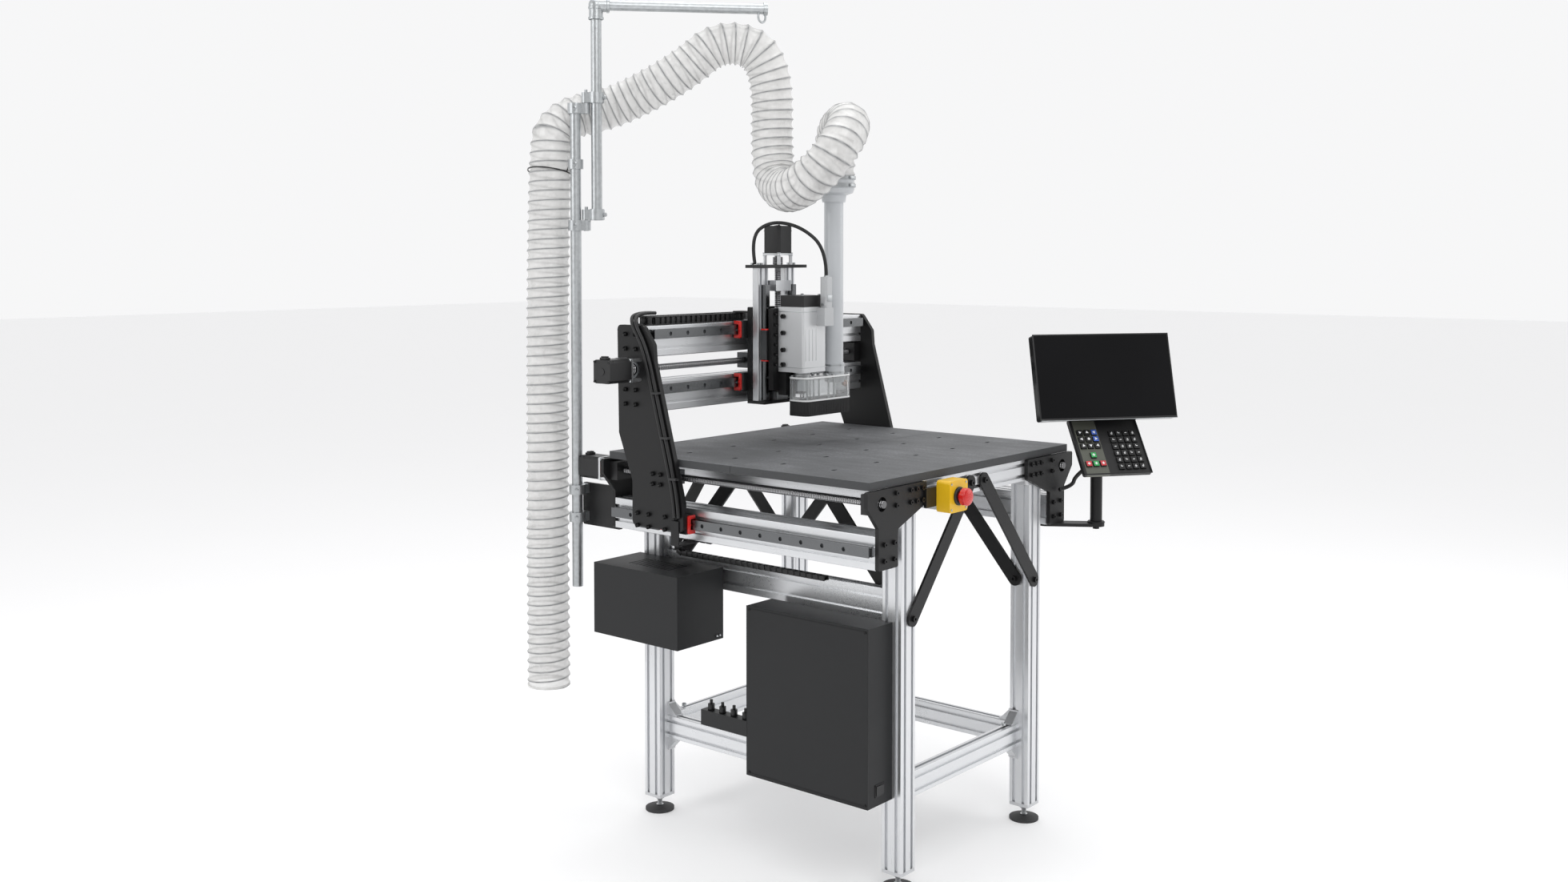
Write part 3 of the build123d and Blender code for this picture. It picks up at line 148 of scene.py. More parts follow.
class RouterSizes(bpy.types.PropertyGroup):
    hose_diameter: FloatProperty(name="Hose diameter", description="Outside the hose's ribs",
                                 default=0.112, unit="LENGTH")
    hose_pitch: FloatProperty(name="Rib pitch", description="One turn of the hose's wire",
                              default=0.0245, unit="LENGTH")
    rib_height: FloatProperty(name="Rib height", description="How far the wire stands proud",
                              default=0.0055, unit="LENGTH")
    cable_diameter: FloatProperty(name="Cable diameter", description="Outside the jacket",
                                  default=0.009, unit="LENGTH")
    link_pitch: FloatProperty(name="Carrier link pitch", description="One link of the cable carriers",
                              default=0.018, unit="LENGTH")
    screw_head: FloatProperty(name="Screw head", description="Width of the cap screws' heads",
                              default=0.011, unit="LENGTH")
    tufts: IntProperty(name="Brush tufts", description="Tufts round the dust shoe's brush",
                       default=170, min=20, max=400)


class RouterColours(bpy.types.PropertyGroup):
    anodised: colour("Anodised", "Bars and columns", (0.72, 0.73, 0.745))
    coated: colour("Coated plate", "Powder-coated plates", (0.0075, 0.0075, 0.008))
    rail: colour("Rail", "Ground rails", (0.17, 0.175, 0.18))
    board: colour("Board", "Fibreboard bed", (0.125, 0.129, 0.135))
    casing: colour("Casing", "Electrical boxes", (0.0105, 0.011, 0.012))
    pipe: colour("Pipe", "Galvanised pipework", (0.50, 0.52, 0.53))
    hose: colour("Hose wall", "Clear hose wall", (0.90, 0.895, 0.88))
    wire: colour("Hose wire", "Wire wound in the hose", (0.22, 0.225, 0.23))
    spindle: colour("Spindle", "Spindle housing", (0.66, 0.67, 0.68))
    cap_red: colour("End cap", "Bearing end caps", (0.62, 0.018, 0.014))
    stop_yellow: colour("Stop box", "Emergency stop box", (0.86, 0.52, 0.01))
    stop_red: colour("Stop button", "Emergency stop button", (0.60, 0.012, 0.01))
    olive: colour("Key panel", "Panel under the control keys", (0.10, 0.105, 0.085))
    key_green: colour("Green key", "Start and jog key", (0.03, 0.35, 0.09))
    key_red: colour("Red key", "Stop keys", (0.55, 0.04, 0.05))
    key_blue: colour("Blue key", "Two blue keys", (0.05, 0.12, 0.50))
    legend: colour("Legend", "Marks on the keys", (0.85, 0.86, 0.86))


# ---------------------------------------------------------------- shader writing
class Value:
    """A number that varies over a surface, written as ordinary sums."""

    def __init__(self, paint, socket):
        self.paint = paint
        self.socket = socket

    def _math(self, operation, first, second=0.0):
        made = self.paint.node("ShaderNodeMath", {"operation": operation},
                               {0: first, 1: second})
        return Value(self.paint, made.outputs[0])

    def __add__(self, other):
        return self._math("ADD", self, other)

    def __radd__(self, other):
        return self._math("ADD", other, self)

    def __sub__(self, other):
        return self._math("SUBTRACT", self, other)

    def __rsub__(self, other):
        return self._math("SUBTRACT", other, self)

    def __mul__(self, other):
        return self._math("MULTIPLY", self, other)

    def __rmul__(self, other):
        return self._math("MULTIPLY", other, self)

    def __gt__(self, other):
        return self._math("GREATER_THAN", self, other)

    def __lt__(self, other):
        return self._math("LESS_THAN", self, other)

    def sine(self):
        return self._math("SINE", self)

    def size(self):
        return self._math("ABSOLUTE", self)


class Paint:
    """One procedural material, built round a single surface shader."""

    def __init__(self, name, **constants):
        self.material = bpy.data.materials.new(name)
        self.material.use_nodes = True
        self.tree = self.material.node_tree
        self.tree.nodes.clear()
        self.shader = self.node("ShaderNodeBsdfPrincipled")
        output = self.node("ShaderNodeOutputMaterial")
        self.tree.links.new(self.shader.outputs[0], output.inputs["Surface"])
        self.places = self.node("ShaderNodeTexCoord").outputs["Object"]
        for socket, number in constants.items():
            label = socket.replace("_", " ").title().replace("Ior", "IOR")
            self.shader.inputs[label].default_value = number

    def node(self, kind, settings=None, values=None):
        made = self.tree.nodes.new(kind)
        for key, setting in (settings or {}).items():
            if key == "stops":
                for _ in range(len(setting) - len(made.color_ramp.elements)):
                    made.color_ramp.elements.new(0.5)
                for element, (place, tone) in zip(made.color_ramp.elements, setting):
                    element.position = place
                    element.color = (*tone, 1)
            else:
                setattr(made, key, setting)
        for key, value in (values or {}).items():
            if isinstance(value, Value):
                value = value.socket
            if isinstance(value, bpy.types.NodeSocket):
                self.tree.links.new(value, made.inputs[key])
            else:
                made.inputs[key].default_value = value
        return made

    def feed(self, socket, value):
        value = value.socket if isinstance(value, Value) else value
        self.tree.links.new(value, self.shader.inputs[socket])

    def axis(self, letter):
        parts = self.node("ShaderNodeSeparateXYZ", None, {0: self.places})
        return Value(self, parts.outputs[letter])

    def noise(self, scale, detail=3.0, stretch=(1, 1, 1)):
        moved = self.node("ShaderNodeMapping", None, {"Vector": self.places, "Scale": stretch})
        made = self.node("ShaderNodeTexNoise", None,
                         {"Vector": moved.outputs[0], "Scale": scale, "Detail": detail})
        return Value(self, made.outputs[0])

    def attribute(self, name):
        made = self.node("ShaderNodeAttribute", {"attribute_name": name})
        return Value(self, made.outputs["Fac"])

    def mix(self, mask, first, second):
        values = {0: mask}
        for key, tone in ((6, first), (7, second)):
            values[key] = tone if isinstance(tone, bpy.types.NodeSocket) else (*tone, 1)
        return self.node("ShaderNodeMix", {"data_type": "RGBA"}, values).outputs[2]

    def bump(self, height, distance, strength=1.0):
        made = self.node("ShaderNodeBump", None,
                         {"Height": height, "Distance": distance, "Strength": strength})
        self.feed("Normal", made.outputs[0])


GROOVE_PITCH = 0.005     # ball screws' grooves
STUD_PITCH = 0.00175     # thread of the feet's studs
RUBBER_TOP = 0.0125      # the feet are rubber up to here


def shade(tone, by):
    return tuple(min(1.0, channel * by) for channel in tone)


def grained(name, tone, roughness, spread, grain, depth, stretch=(1, 1, 1), wear=0.1,
            **constants):
    """A finish with fine grain, broad tone changes and uneven gloss."""
    paint = Paint(name, **constants)
    fine = paint.noise(grain, 4, stretch)
    broad = paint.noise(7, 3)
    mask = fine * 0.55 + broad * 0.45
    paint.feed("Base Color", paint.mix(mask, shade(tone, 1 - spread), shade(tone, 1 + spread)))
    paint.feed("Roughness", roughness + (broad - 0.5) * wear + (fine - 0.5) * wear)
    paint.bump(fine, depth, 0.6)
    return paint.material


def brushed(name, tone, stretch):
    """Metal with long draw lines in one direction."""
    return grained(name, tone, 0.3, 0.07, 900, 0.0001, stretch, 0.12, metallic=0.88)


def threaded(name, letter):
    """Bright screw whose thread runs along one axis, with painted shade in its grooves."""
    paint = Paint(name, metallic=1.0)
    wave = (paint.axis(letter) * (2 * math.pi / GROOVE_PITCH)).sine() * 0.5 + 0.5
    # painted shade: the base colour darkens in each groove of the thread
    paint.feed("Base Color", paint.mix(wave, (0.16, 0.16, 0.165), (0.62, 0.62, 0.63)))
    paint.feed("Roughness", 0.34 - wave * 0.12)
    paint.bump(wave, 0.0012)
    return paint.material


def two_part(name, letter, limit, above, first, second, rough=(0.38, 0.3), metal=(0.0, 0.95)):
    """One finish up to a place on an axis and another past it."""
    paint = Paint(name)
    side = paint.axis(letter)
    mask = (side > limit) if above else (side < limit)
    fine = paint.noise(500, 3)
    dark = paint.mix(fine, shade(first, 0.8), shade(first, 1.3))
    light = paint.mix(fine, shade(second, 0.9), shade(second, 1.08))
    paint.feed("Base Color", paint.mix(mask, light, dark))
    paint.feed("Metallic", metal[1] + mask * (metal[0] - metal[1]))
    paint.feed("Roughness", rough[1] + mask * (rough[0] - rough[1]) + (fine - 0.5) * 0.12)
    paint.bump(fine, 0.00015)
    return paint.material


def banded(name, letter, low, high, tone, grain=(1, 1, 1)):
    """Bare bright metal between two places on an axis, and black outside them."""
    paint = Paint(name)
    along = paint.axis(letter)
    bright = (along > low) * (along < high)
    fine = paint.noise(700, 3, grain)
    black = paint.mix(fine, shade(tone.coated, 0.7), shade(tone.coated, 1.5))
    metal = paint.mix(fine, shade(tone.anodised, 0.85), tone.anodised)
    paint.feed("Base Color", paint.mix(bright, black, metal))
    paint.feed("Metallic", bright * 0.9)
    paint.feed("Roughness", 0.42 - bright * 0.12 + (fine - 0.5) * 0.12)
    paint.bump(fine, 0.00015)
    return paint.material


def row(x=0.0, y=0.0, z=0.0):
    """A place of the machine's frame, in the row frame's metres."""
    return TO_ROW @ Vector((x, y, z))


class Finishes:
    """Every material, each made the first time it is asked for."""

    made = {}

    @classmethod
    def get(cls, name):
        if name not in cls.made:
            cls.made[name] = getattr(cls, name)(bpy.context.scene.router_colours)
        return cls.made[name]

    def upright_bar(tone):
        return brushed("upright_bar", tone.anodised, (1, 1, 0.02))

    def long_bar(tone):
        return brushed("long_bar", tone.anodised, (1, 0.02, 1))

    def cross_bar(tone):
        return brushed("cross_bar", tone.anodised, (0.02, 1, 1))

    def mixed_bar(tone):
        return brushed("mixed_bar", tone.anodised, (0.3, 0.3, 0.3))

    def cast(tone):
        return grained("cast", shade(tone.anodised, 0.86), 0.42, 0.1, 260, 0.0004, metallic=0.9)

    def coated(tone):
        return grained("coated", tone.coated, 0.46, 0.3, 900, 0.00025, specular_ior_level=0.35)

    def black_screw(tone):
        return grained("black_screw", shade(tone.coated, 1.2), 0.34, 0.3, 500, 0.0001,
                       metallic=0.4)

    def zinc(tone):
        return grained("zinc", shade(tone.pipe, 0.95), 0.3, 0.14, 300, 0.0002, metallic=1.0)

    def foot(tone):
        paint = Paint("foot", metallic=0.0)
        low = paint.axis("Z") < RUBBER_TOP
        fine = paint.noise(500, 3)
        rubber = paint.mix(fine, (0.02, 0.02, 0.021), (0.055, 0.055, 0.057))
        steel = paint.mix(fine, (0.45, 0.46, 0.47), (0.62, 0.63, 0.64))
        paint.feed("Base Color", paint.mix(low, steel, rubber))
        paint.feed("Metallic", 1.0 - low)
        paint.feed("Roughness", 0.3 + low * 0.35)
        thread = (paint.axis("Z") * (2 * math.pi / STUD_PITCH)).sine()
        paint.bump(thread * (1 - low) + fine * 0.4, 0.0003)
        return paint.material

    def rail(tone):
        return grained("rail", tone.rail, 0.26, 0.1, 700, 0.00008, metallic=1.0)

    def block_steel(tone):
        return grained("block_steel", shade(tone.rail, 0.55), 0.3, 0.12, 600, 0.0001,
                       metallic=0.95)

    def long_thread(tone):
        return threaded("long_thread", "Y")

    def cross_thread(tone):
        return threaded("cross_thread", "X")

    def z_thread(tone):
        return threaded("z_thread", "Z")

    def long_motor(tone):
        return banded("long_motor", "Y", row(y=411.4).y, row(y=445.5).y, tone)

    def cross_motor(tone):
        return banded("cross_motor", "X", row(x=-473.5).x, row(x=-440.2).x, tone)

    def z_motor(tone):
        return banded("z_motor", "Z", row(z=1392.2).z, row(z=1421.5).z, tone)

    def columns(tone):
        return banded("columns", "Z", row(z=1045.02).z, row(z=1383.98).z, tone, (1, 1, 0.02))

    def board(tone):
        paint = Paint("board", specular_ior_level=0.35)
        fibre = paint.noise(260, 5, (1, 0.55, 1))
        blotch = paint.noise(5, 4)
        scuff = paint.noise(38, 6, (1, 0.25, 1))
        mask = fibre * 0.45 + blotch * 0.3 + scuff * 0.25
        ramp = paint.node("ShaderNodeValToRGB", {"stops": [
            (0.36, shade(tone.board, 0.62)), (0.52, tone.board), (0.68, shade(tone.board, 1.75))]},
            {0: mask})
        side = paint.axis("Z") < row(z=933.6).z
        paint.feed("Base Color", paint.mix(side, ramp.outputs[0], shade(tone.board, 0.45)))
        paint.feed("Roughness", 0.52 + fibre * 0.25)
        paint.bump(fibre, 0.0004, 0.7)
        return paint.material

    def casing(tone):
        return grained("casing", tone.casing, 0.5, 0.22, 1300, 0.0003, specular_ior_level=0.35)

    def plastic(tone):
        return grained("plastic", shade(tone.coated, 1.5), 0.45, 0.2, 700, 0.0002)

    def cable(tone):
        return grained("cable", shade(tone.coated, 1.1), 0.4, 0.2, 300, 0.0001)

    def pipe(tone):
        paint = Paint("pipe", metallic=0.92)
        spangle = paint.node("ShaderNodeTexVoronoi", None, {"Vector": paint.places, "Scale": 95.0})
        flake = Value(paint, spangle.outputs["Distance"])
        streak = paint.noise(60, 4, (1, 1, 0.08))
        mask = flake * 0.5 + streak * 0.5
        paint.feed("Base Color", paint.mix(mask, shade(tone.pipe, 0.78), shade(tone.pipe, 1.22)))
        paint.feed("Roughness", 0.28 + streak * 0.2)
        paint.bump(streak, 0.0003, 0.5)
        return paint.material

    def pole_clamp(tone):
        paint = Paint("pole_clamp")
        plate = (paint.axis("X") > row(x=-371).x) * (paint.axis("Z") < row(z=838).z)
        fine = paint.noise(300, 4)
        black = paint.mix(fine, shade(tone.coated, 0.7), shade(tone.coated, 1.4))
        grey = paint.mix(fine, shade(tone.pipe, 0.8), shade(tone.pipe, 1.2))
        paint.feed("Base Color", paint.mix(plate, grey, black))
        paint.feed("Metallic", 0.9 - plate * 0.9)
        paint.feed("Roughness", 0.3 + fine * 0.15 + plate * 0.1)
        paint.bump(fine, 0.0003, 0.6)
        return paint.material

    def duct(tone):
        return grained("duct", (0.56, 0.58, 0.60), 0.3, 0.06, 60, 0.0001, (1, 1, 0.2),
                       coat_weight=0.3)

    def hose(tone):
        paint = Paint("hose", coat_weight=0.5, coat_roughness=0.1)
        wire = paint.node("ShaderNodeClamp", None, {0: paint.attribute("rib") * 1.2})
        wire = Value(paint, wire.outputs[0])
        haze = paint.noise(26, 5)
        crease = paint.noise(90, 3, (1, 1, 0.3))
        wall = paint.mix(haze, shade(tone.hose, 0.80), tone.hose)
        paint.feed("Base Color", paint.mix(wire, wall, tone.wire))
        paint.feed("Roughness", 0.2 + haze * 0.2)
        paint.feed("Alpha", 0.50 + haze * 0.34 + wire * 0.35)
        paint.bump(crease, 0.0022, 0.7)
        return paint.material

    def spindle(tone):
        return grained("spindle", tone.spindle, 0.36, 0.05, 800, 0.0001, (1, 1, 0.05),
                       metallic=0.55)

    def winding(tone):
        return grained("winding", (0.52, 0.22, 0.08), 0.4, 0.2, 900, 0.0006, (1, 1, 0.1),
                       metallic=0.8)

    def spindle_black(tone):
        return two_part("spindle_black", "Y", row(y=73).y, True, shade(tone.coated, 1.2),
                        (0.50, 0.51, 0.52), (0.42, 0.4), (0.0, 0.25))

    def acrylic(tone):
        paint = Paint("acrylic", transmission_weight=0.86, ior=1.49, metallic=0.0)
        haze = paint.noise(30, 3)
        paint.feed("Base Color", paint.mix(haze, (0.86, 0.88, 0.89), (0.97, 0.98, 0.98)))
        paint.feed("Roughness", 0.04 + haze * 0.08)
        return paint.material

    def white_rim(tone):
        return grained("white_rim", (0.86, 0.87, 0.87), 0.35, 0.04, 200, 0.0001)

    def bristle(tone):
        return grained("bristle", (0.016, 0.016, 0.017), 0.6, 0.4, 600, 0.001, (1, 1, 0.04))

    def red_cap(tone):
        return grained("red_cap", tone.cap_red, 0.32, 0.1, 400, 0.0001, coat_weight=0.2)

    def stop_box(tone):
        paint = Paint("stop_box", coat_weight=0.2)
        front = paint.axis("Y") < row(y=-419.2).y
        fine = paint.noise(400, 3)
        yellow = paint.mix(fine, shade(tone.stop_yellow, 0.9), tone.stop_yellow)
        black = paint.mix(fine, shade(tone.coated, 0.7), shade(tone.coated, 1.3))
        paint.feed("Base Color", paint.mix(front, black, yellow))
        paint.feed("Roughness", 0.36 + fine * 0.1)
        paint.bump(fine, 0.0001, 0.5)
        return paint.material

    def stop_red(tone):
        return grained("stop_red", tone.stop_red, 0.26, 0.08, 300, 0.0001, coat_weight=0.4)

    def glass_black(tone):
        paint = Paint("glass_black", specular_ior_level=0.22)
        haze = paint.noise(4, 2)
        paint.feed("Base Color", paint.mix(haze, (0.002, 0.002, 0.0024), (0.006, 0.006, 0.007)))
        paint.feed("Roughness", 0.08 + haze * 0.06)
        return paint.material

    def tray(tone):
        paint = Paint("tray", metallic=0.0)
        centre = row(*TRAY)
        along = (paint.axis("X") - centre.x) * ACROSS.x + (paint.axis("Y") - centre.y) * ACROSS.y
        panel = ((along + 0.052).size() < 0.0305)
        low = paint.axis("Z") < row(z=1003).z
        fine = paint.noise(500, 3)
        black = paint.mix(fine, shade(tone.coated, 0.8), shade(tone.coated, 1.4))
        olive = paint.mix(fine, shade(tone.olive, 0.9), shade(tone.olive, 1.1))
        paint.feed("Base Color", paint.mix(panel * low, black, olive))
        paint.feed("Roughness", 0.42 + fine * 0.12)
        paint.bump(fine, 0.0001, 0.5)
        return paint.material

    def key(tone):
        return grained("key", shade(tone.coated, 1.1), 0.32, 0.2, 500, 0.0001)

    def key_green(tone):
        return grained("key_green", tone.key_green, 0.35, 0.06, 400, 0.0001)

    def key_red(tone):
        return grained("key_red", tone.key_red, 0.35, 0.06, 400, 0.0001)

    def key_blue(tone):
        return grained("key_blue", tone.key_blue, 0.35, 0.06, 400, 0.0001)

    def legend(tone):
        return grained("legend", tone.legend, 0.45, 0.03, 400, 0.0001)

    def coupling(tone):
        return grained("coupling", (0.60, 0.27, 0.12), 0.32, 0.1, 500, 0.0001, metallic=1.0)

    def circuit(tone):
        paint = Paint("circuit", specular_ior_level=0.4)
        outside = paint.axis("X") > row(x=-290).x
        fine = paint.noise(140, 4)
        board = paint.mix(fine, (0.03, 0.08, 0.05), (0.16, 0.19, 0.17))
        strip = paint.mix(fine, shade(tone.casing, 0.8), shade(tone.casing, 1.6))
        paint.feed("Base Color", paint.mix(outside, board, strip))
        paint.feed("Roughness", 0.4 + fine * 0.15)
        paint.bump(fine, 0.0002)
        return paint.material

    def floor(tone):
        paint = Paint("floor", emission_color=(1, 1, 1, 1), emission_strength=0.16)
        mask = paint.noise(1.3, 3)
        paint.feed("Base Color", paint.mix(mask, (0.86, 0.86, 0.865), (0.88, 0.88, 0.885)))
        paint.feed("Roughness", 0.7 + mask * 0.1)
        return paint.material


NODE_FINISH = {
    "upright_bar": ["legs"],
    "columns": ["z_frame"],
    "long_bar": ["rail_beams"],
    "cross_bar": ["gantry_beams"],
    "mixed_bar": ["stretchers", "bed_beams"],
    "cast": ["frame_brackets"],
    "foot": ["leveling_feet"],
    "coated": ["corner_plates", "diagonal_braces", "gantry_plates", "carriage_plate", "z_plate",
               "station_arm"],
    "black_screw": ["frame_screws"],
    "rail": ["long_rails", "cross_rails", "z_rails"],
    "block_steel": ["long_bearings", "cross_bearings", "z_bearings"],
    "long_thread": ["long_screw_left", "long_screw_right"],
    "cross_thread": ["cross_screw"],
    "z_thread": ["z_screw"],
    "zinc": ["spindle_shaft"],
    "long_motor": ["long_axis_drives"],
    "cross_motor": ["cross_axis_drive"],
    "z_motor": ["z_motor"],
    "board": ["spoilboard"],
    "casing": ["enclosure_shells", "enclosure_covers"],
    "circuit": ["electronics"],
    "pipe": ["support_pole", "boom"],
    "pole_clamp": ["pole_clamps"],
    "duct": ["dust_duct"],
    "spindle": ["spindle_body"],
    "winding": ["spindle_winding"],
    "spindle_black": ["spindle_fittings"],
    "acrylic": ["dust_shoe"],
    "bristle": ["brush_skirt"],
    "stop_box": ["emergency_stop_box"],
    "stop_red": ["emergency_stop_button"],
    "glass_black": ["screen"],
    "tray": ["keypad_tray"],
    "key": ["control_keys", "number_keys"],
    "plastic": ["rocker_switch"],
}


# ---------------------------------------------------------------- mesh making
def facing(centre, normal, side=None):
    """Matrix that puts Z along a normal and, where given, X along a side."""
    normal = Vector(normal).normalized()
    if side is None:
        side = UP.cross(normal) if abs(normal.z) < 0.9 else (1, 0, 0)
    side = Vector(side)
    side = (side - normal * side.dot(normal)).normalized()
    turned = Matrix((side, normal.cross(side), normal)).transposed().to_4x4()
    return Matrix.Translation(Vector(centre)) @ turned


def corners(reach):
    """The four corners of a square round the origin."""
    return [(x, y) for x in (-reach, reach) for y in (-reach, reach)]


def ring(inner, outer, low, high):
    """Section of a plain ring, for Maker.lathe."""
    return [(inner, low), (outer, low), (outer, high), (inner, high)]


class Maker:
    """Builds one piece in the machine's millimetres out of bmesh operators."""

    def __init__(self):
        self.mesh = bmesh.new()

    def _soften(self, verts, bevel, segments=2):
        if bevel:
            edges = list({edge for vert in verts for edge in vert.link_edges})
            bmesh.ops.bevel(self.mesh, geom=edges, offset=bevel, offset_type="OFFSET",
                            affect="EDGES", segments=segments, profile=0.5, material=-1)

    def block(self, low, high, bevel=0.0, place=None):
        """A box between two corners, its edges softened where a bevel is given."""
        low, high = Vector(low), Vector(high)
        size = Matrix.Diagonal((*(high - low), 1))
        made = bmesh.ops.create_cube(
            self.mesh, size=1.0,
            matrix=(place or Matrix.Identity(4)) @ Matrix.Translation((low + high) / 2) @ size)
        self._soften(made["verts"], bevel)

    def rod(self, place, radius, length, sides=24, end_radius=None, bevel=0.0):
        """A round or many-sided bar that starts at a place and may taper."""
        made = bmesh.ops.create_cone(
            self.mesh, cap_ends=True, cap_tris=False, segments=sides, radius1=radius,
            radius2=radius if end_radius is None else end_radius, depth=length,
            matrix=place @ Matrix.Translation((0, 0, length / 2)))
        if bevel:
            rims = [edge for vert in made["verts"] for edge in vert.link_edges
                    if len(edge.link_faces) == 2
                    and any(len(face.verts) > 4 for face in edge.link_faces)]
            bmesh.ops.bevel(self.mesh, geom=list(set(rims)), offset=bevel, affect="EDGES",
                            offset_type="OFFSET", segments=2, profile=0.5, material=-1)

    def lathe(self, place, profile, steps=36):
        """Spin a closed profile of (radius, height) pairs round Z."""
        verts = [self.mesh.verts.new((radius, 0, height)) for radius, height in profile]
        edges = [self.mesh.edges.new((a, b)) for a, b in zip(verts, verts[1:] + verts[:1])]
        bmesh.ops.spin(self.mesh, geom=verts + edges, cent=(0, 0, 0), axis=(0, 0, 1),
                       dvec=(0, 0, 0), angle=2 * math.pi, steps=steps, use_merge=True,
                       use_duplicate=False)
        verts = {vert for edge in edges if edge.is_valid for vert in edge.verts}
        todo = list(verts)
        while todo:
            for edge in todo.pop().link_edges:
                for vert in edge.verts:
                    if vert not in verts:
                        verts.add(vert)
                        todo.append(vert)
        bmesh.ops.transform(self.mesh, matrix=place, verts=list(verts))

    def prism(self, place, outline, thick, bevel=0.0):
        """A flat outline made thick."""
        verts = [self.mesh.verts.new((x, y, 0)) for x, y in outline]
        face = self.mesh.faces.new(verts)
        grown = bmesh.ops.extrude_face_region(self.mesh, geom=[face])["geom"]
        tops = [part for part in grown if isinstance(part, bmesh.types.BMVert)]
        bmesh.ops.translate(self.mesh, vec=(0, 0, thick), verts=tops)
        bmesh.ops.transform(self.mesh, matrix=place, verts=verts + tops)
        self._soften(verts + tops, bevel)

    def screw(self, place, width, tall):
        """A cap screw's head with its socket pressed in."""
        made = bmesh.ops.create_cone(
            self.mesh, cap_ends=True, cap_tris=False, segments=12, radius1=width / 2,
            radius2=width / 2, depth=tall, matrix=place @ Matrix.Translation((0, 0, tall / 2)))
        direction = place.to_3x3() @ UP
        top = max((face for vert in made["verts"] for face in vert.link_faces),
                  key=lambda face: face.calc_center_median().dot(direction))
        bmesh.ops.inset_region(self.mesh, faces=[top], thickness=width * 0.22, depth=0.0)
        bmesh.ops.translate(self.mesh, vec=direction * (-tall * 0.55), verts=top.verts[:])

    def done(self, name, body, finish, angle=32, solid=True):
        """Write the piece out in the row frame and let it ride on its body."""
        bmesh.ops.transform(self.mesh, matrix=TO_ROW, verts=self.mesh.verts)
        if solid:
            bmesh.ops.recalc_face_normals(self.mesh, faces=self.mesh.faces)
        data = bpy.data.meshes.new(name)
        self.mesh.to_mesh(data)
        self.mesh.free()
        data.polygons.foreach_set("use_smooth", [True] * len(data.polygons))
        data.set_sharp_from_angle(angle=math.radians(angle))
        data.materials.append(Finishes.get(finish))
        piece = bpy.data.objects.new(name, data)
        bpy.context.scene.collection.objects.link(piece)
        if body:
            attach(piece, body)
        return piece


def route_line(points):
    """The smooth line of a hose or cable, read from its NURBS spline."""
    curve = bpy.data.curves.new("route", "CURVE")
    curve.dimensions = "3D"
    spline = curve.splines.new("NURBS")
    spline.points.add(len(points) - 1)
    for knot, point in zip(spline.points, points):
        knot.co = (*(MACHINE + Vector(point)), 1)
    spline.order_u = 3
    spline.use_endpoint_u = True
    spline.resolution_u = 40
    holder = bpy.data.objects.new("route", curve)
    bpy.context.scene.collection.objects.link(holder)
    bpy.context.view_layer.update()
    mesh = bpy.data.meshes.new_from_object(holder)
    line = [vert.co.copy() for vert in mesh.vertices]
    bpy.data.objects.remove(holder)
    bpy.data.meshes.remove(mesh)
    bpy.data.curves.remove(curve)
    return line


class Walk:
    """Evenly spaced stations along a line, each with a frame that never twists."""

    def __init__(self, line, step):
        lengths = [0.0]
        for before, after in zip(line, line[1:]):
            lengths.append(lengths[-1] + (after - before).length)
        self.length = lengths[-1]
        self.count = max(2, round(self.length / step)) + 1
        self.step = self.length / (self.count - 1)
        self.points = []
        index = 0
        for number in range(self.count):
            far = number * self.step
            while index < len(lengths) - 2 and lengths[index + 1] < far:
                index += 1
            span = lengths[index + 1] - lengths[index]
            part = (far - lengths[index]) / span if span else 0.0
            self.points.append(line[index].lerp(line[index + 1], min(1.0, max(0.0, part))))
        self.ways = []
        for number in range(self.count):
            before = self.points[max(0, number - 1)]
            after = self.points[min(self.count - 1, number + 1)]
            self.ways.append((after - before).normalized())
        side = Vector((1, 0, 0)).cross(self.ways[0])
        side = side if side.length > 0.1 else Vector((0, 1, 0)).cross(self.ways[0])
        self.sides = [side.normalized()]
        for before, after in zip(self.ways, self.ways[1:]):
            turned = before.rotation_difference(after) @ self.sides[-1]
            self.sides.append((turned - after * turned.dot(after)).normalized())

    def nearest(self, place):
        return min(range(self.count), key=lambda number: (self.points[number] - place).length)


def tube_mesh(walk, first, last, sides, radius_at, capped):
    """A tube round part of a walk, wrapped from one flat grid."""
    mesh = bmesh.new()
    rib = mesh.verts.layers.float.new("rib")
    bmesh.ops.create_grid(mesh, x_segments=sides, y_segments=last - first, size=0.5)
    for vert in mesh.verts:
        number = first + round((vert.co.y + 0.5) * (last - first))
        angle = (vert.co.x + 0.5) * 2 * math.pi
        height, tall = radius_at(number, angle)
        side, way = walk.sides[number], walk.ways[number]
        outward = side * math.cos(angle) + way.cross(side) * math.sin(angle)
        vert.co = walk.points[number] + outward * tall
        vert[rib] = height
    bmesh.ops.remove_doubles(mesh, verts=mesh.verts, dist=1e-6)
    if capped:
        rims = [edge for edge in mesh.edges if len(edge.link_faces) == 1]
        bmesh.ops.holes_fill(mesh, edges=rims, sides=0)
    bmesh.ops.recalc_face_normals(mesh, faces=mesh.faces)
    middle = mesh.faces[:][len(mesh.faces) // 2] if not capped else None
    if middle is not None:
        centre = middle.calc_center_median()
        axis_point = walk.points[walk.nearest(centre)]
        if middle.normal.dot(centre - axis_point) < 0:
            bmesh.ops.reverse_faces(mesh, faces=mesh.faces[:])
    return mesh


def tube_piece(name, mesh, finish):
    """Turn a tube's mesh, which is already in the row frame, into a piece."""
    data = bpy.data.meshes.new(name)
    mesh.to_mesh(data)
    mesh.free()
    data.polygons.foreach_set("use_smooth", [True] * len(data.polygons))
    data.materials.append(Finishes.get(finish))
    piece = bpy.data.objects.new(name, data)
    bpy.context.scene.collection.objects.link(piece)
    return piece


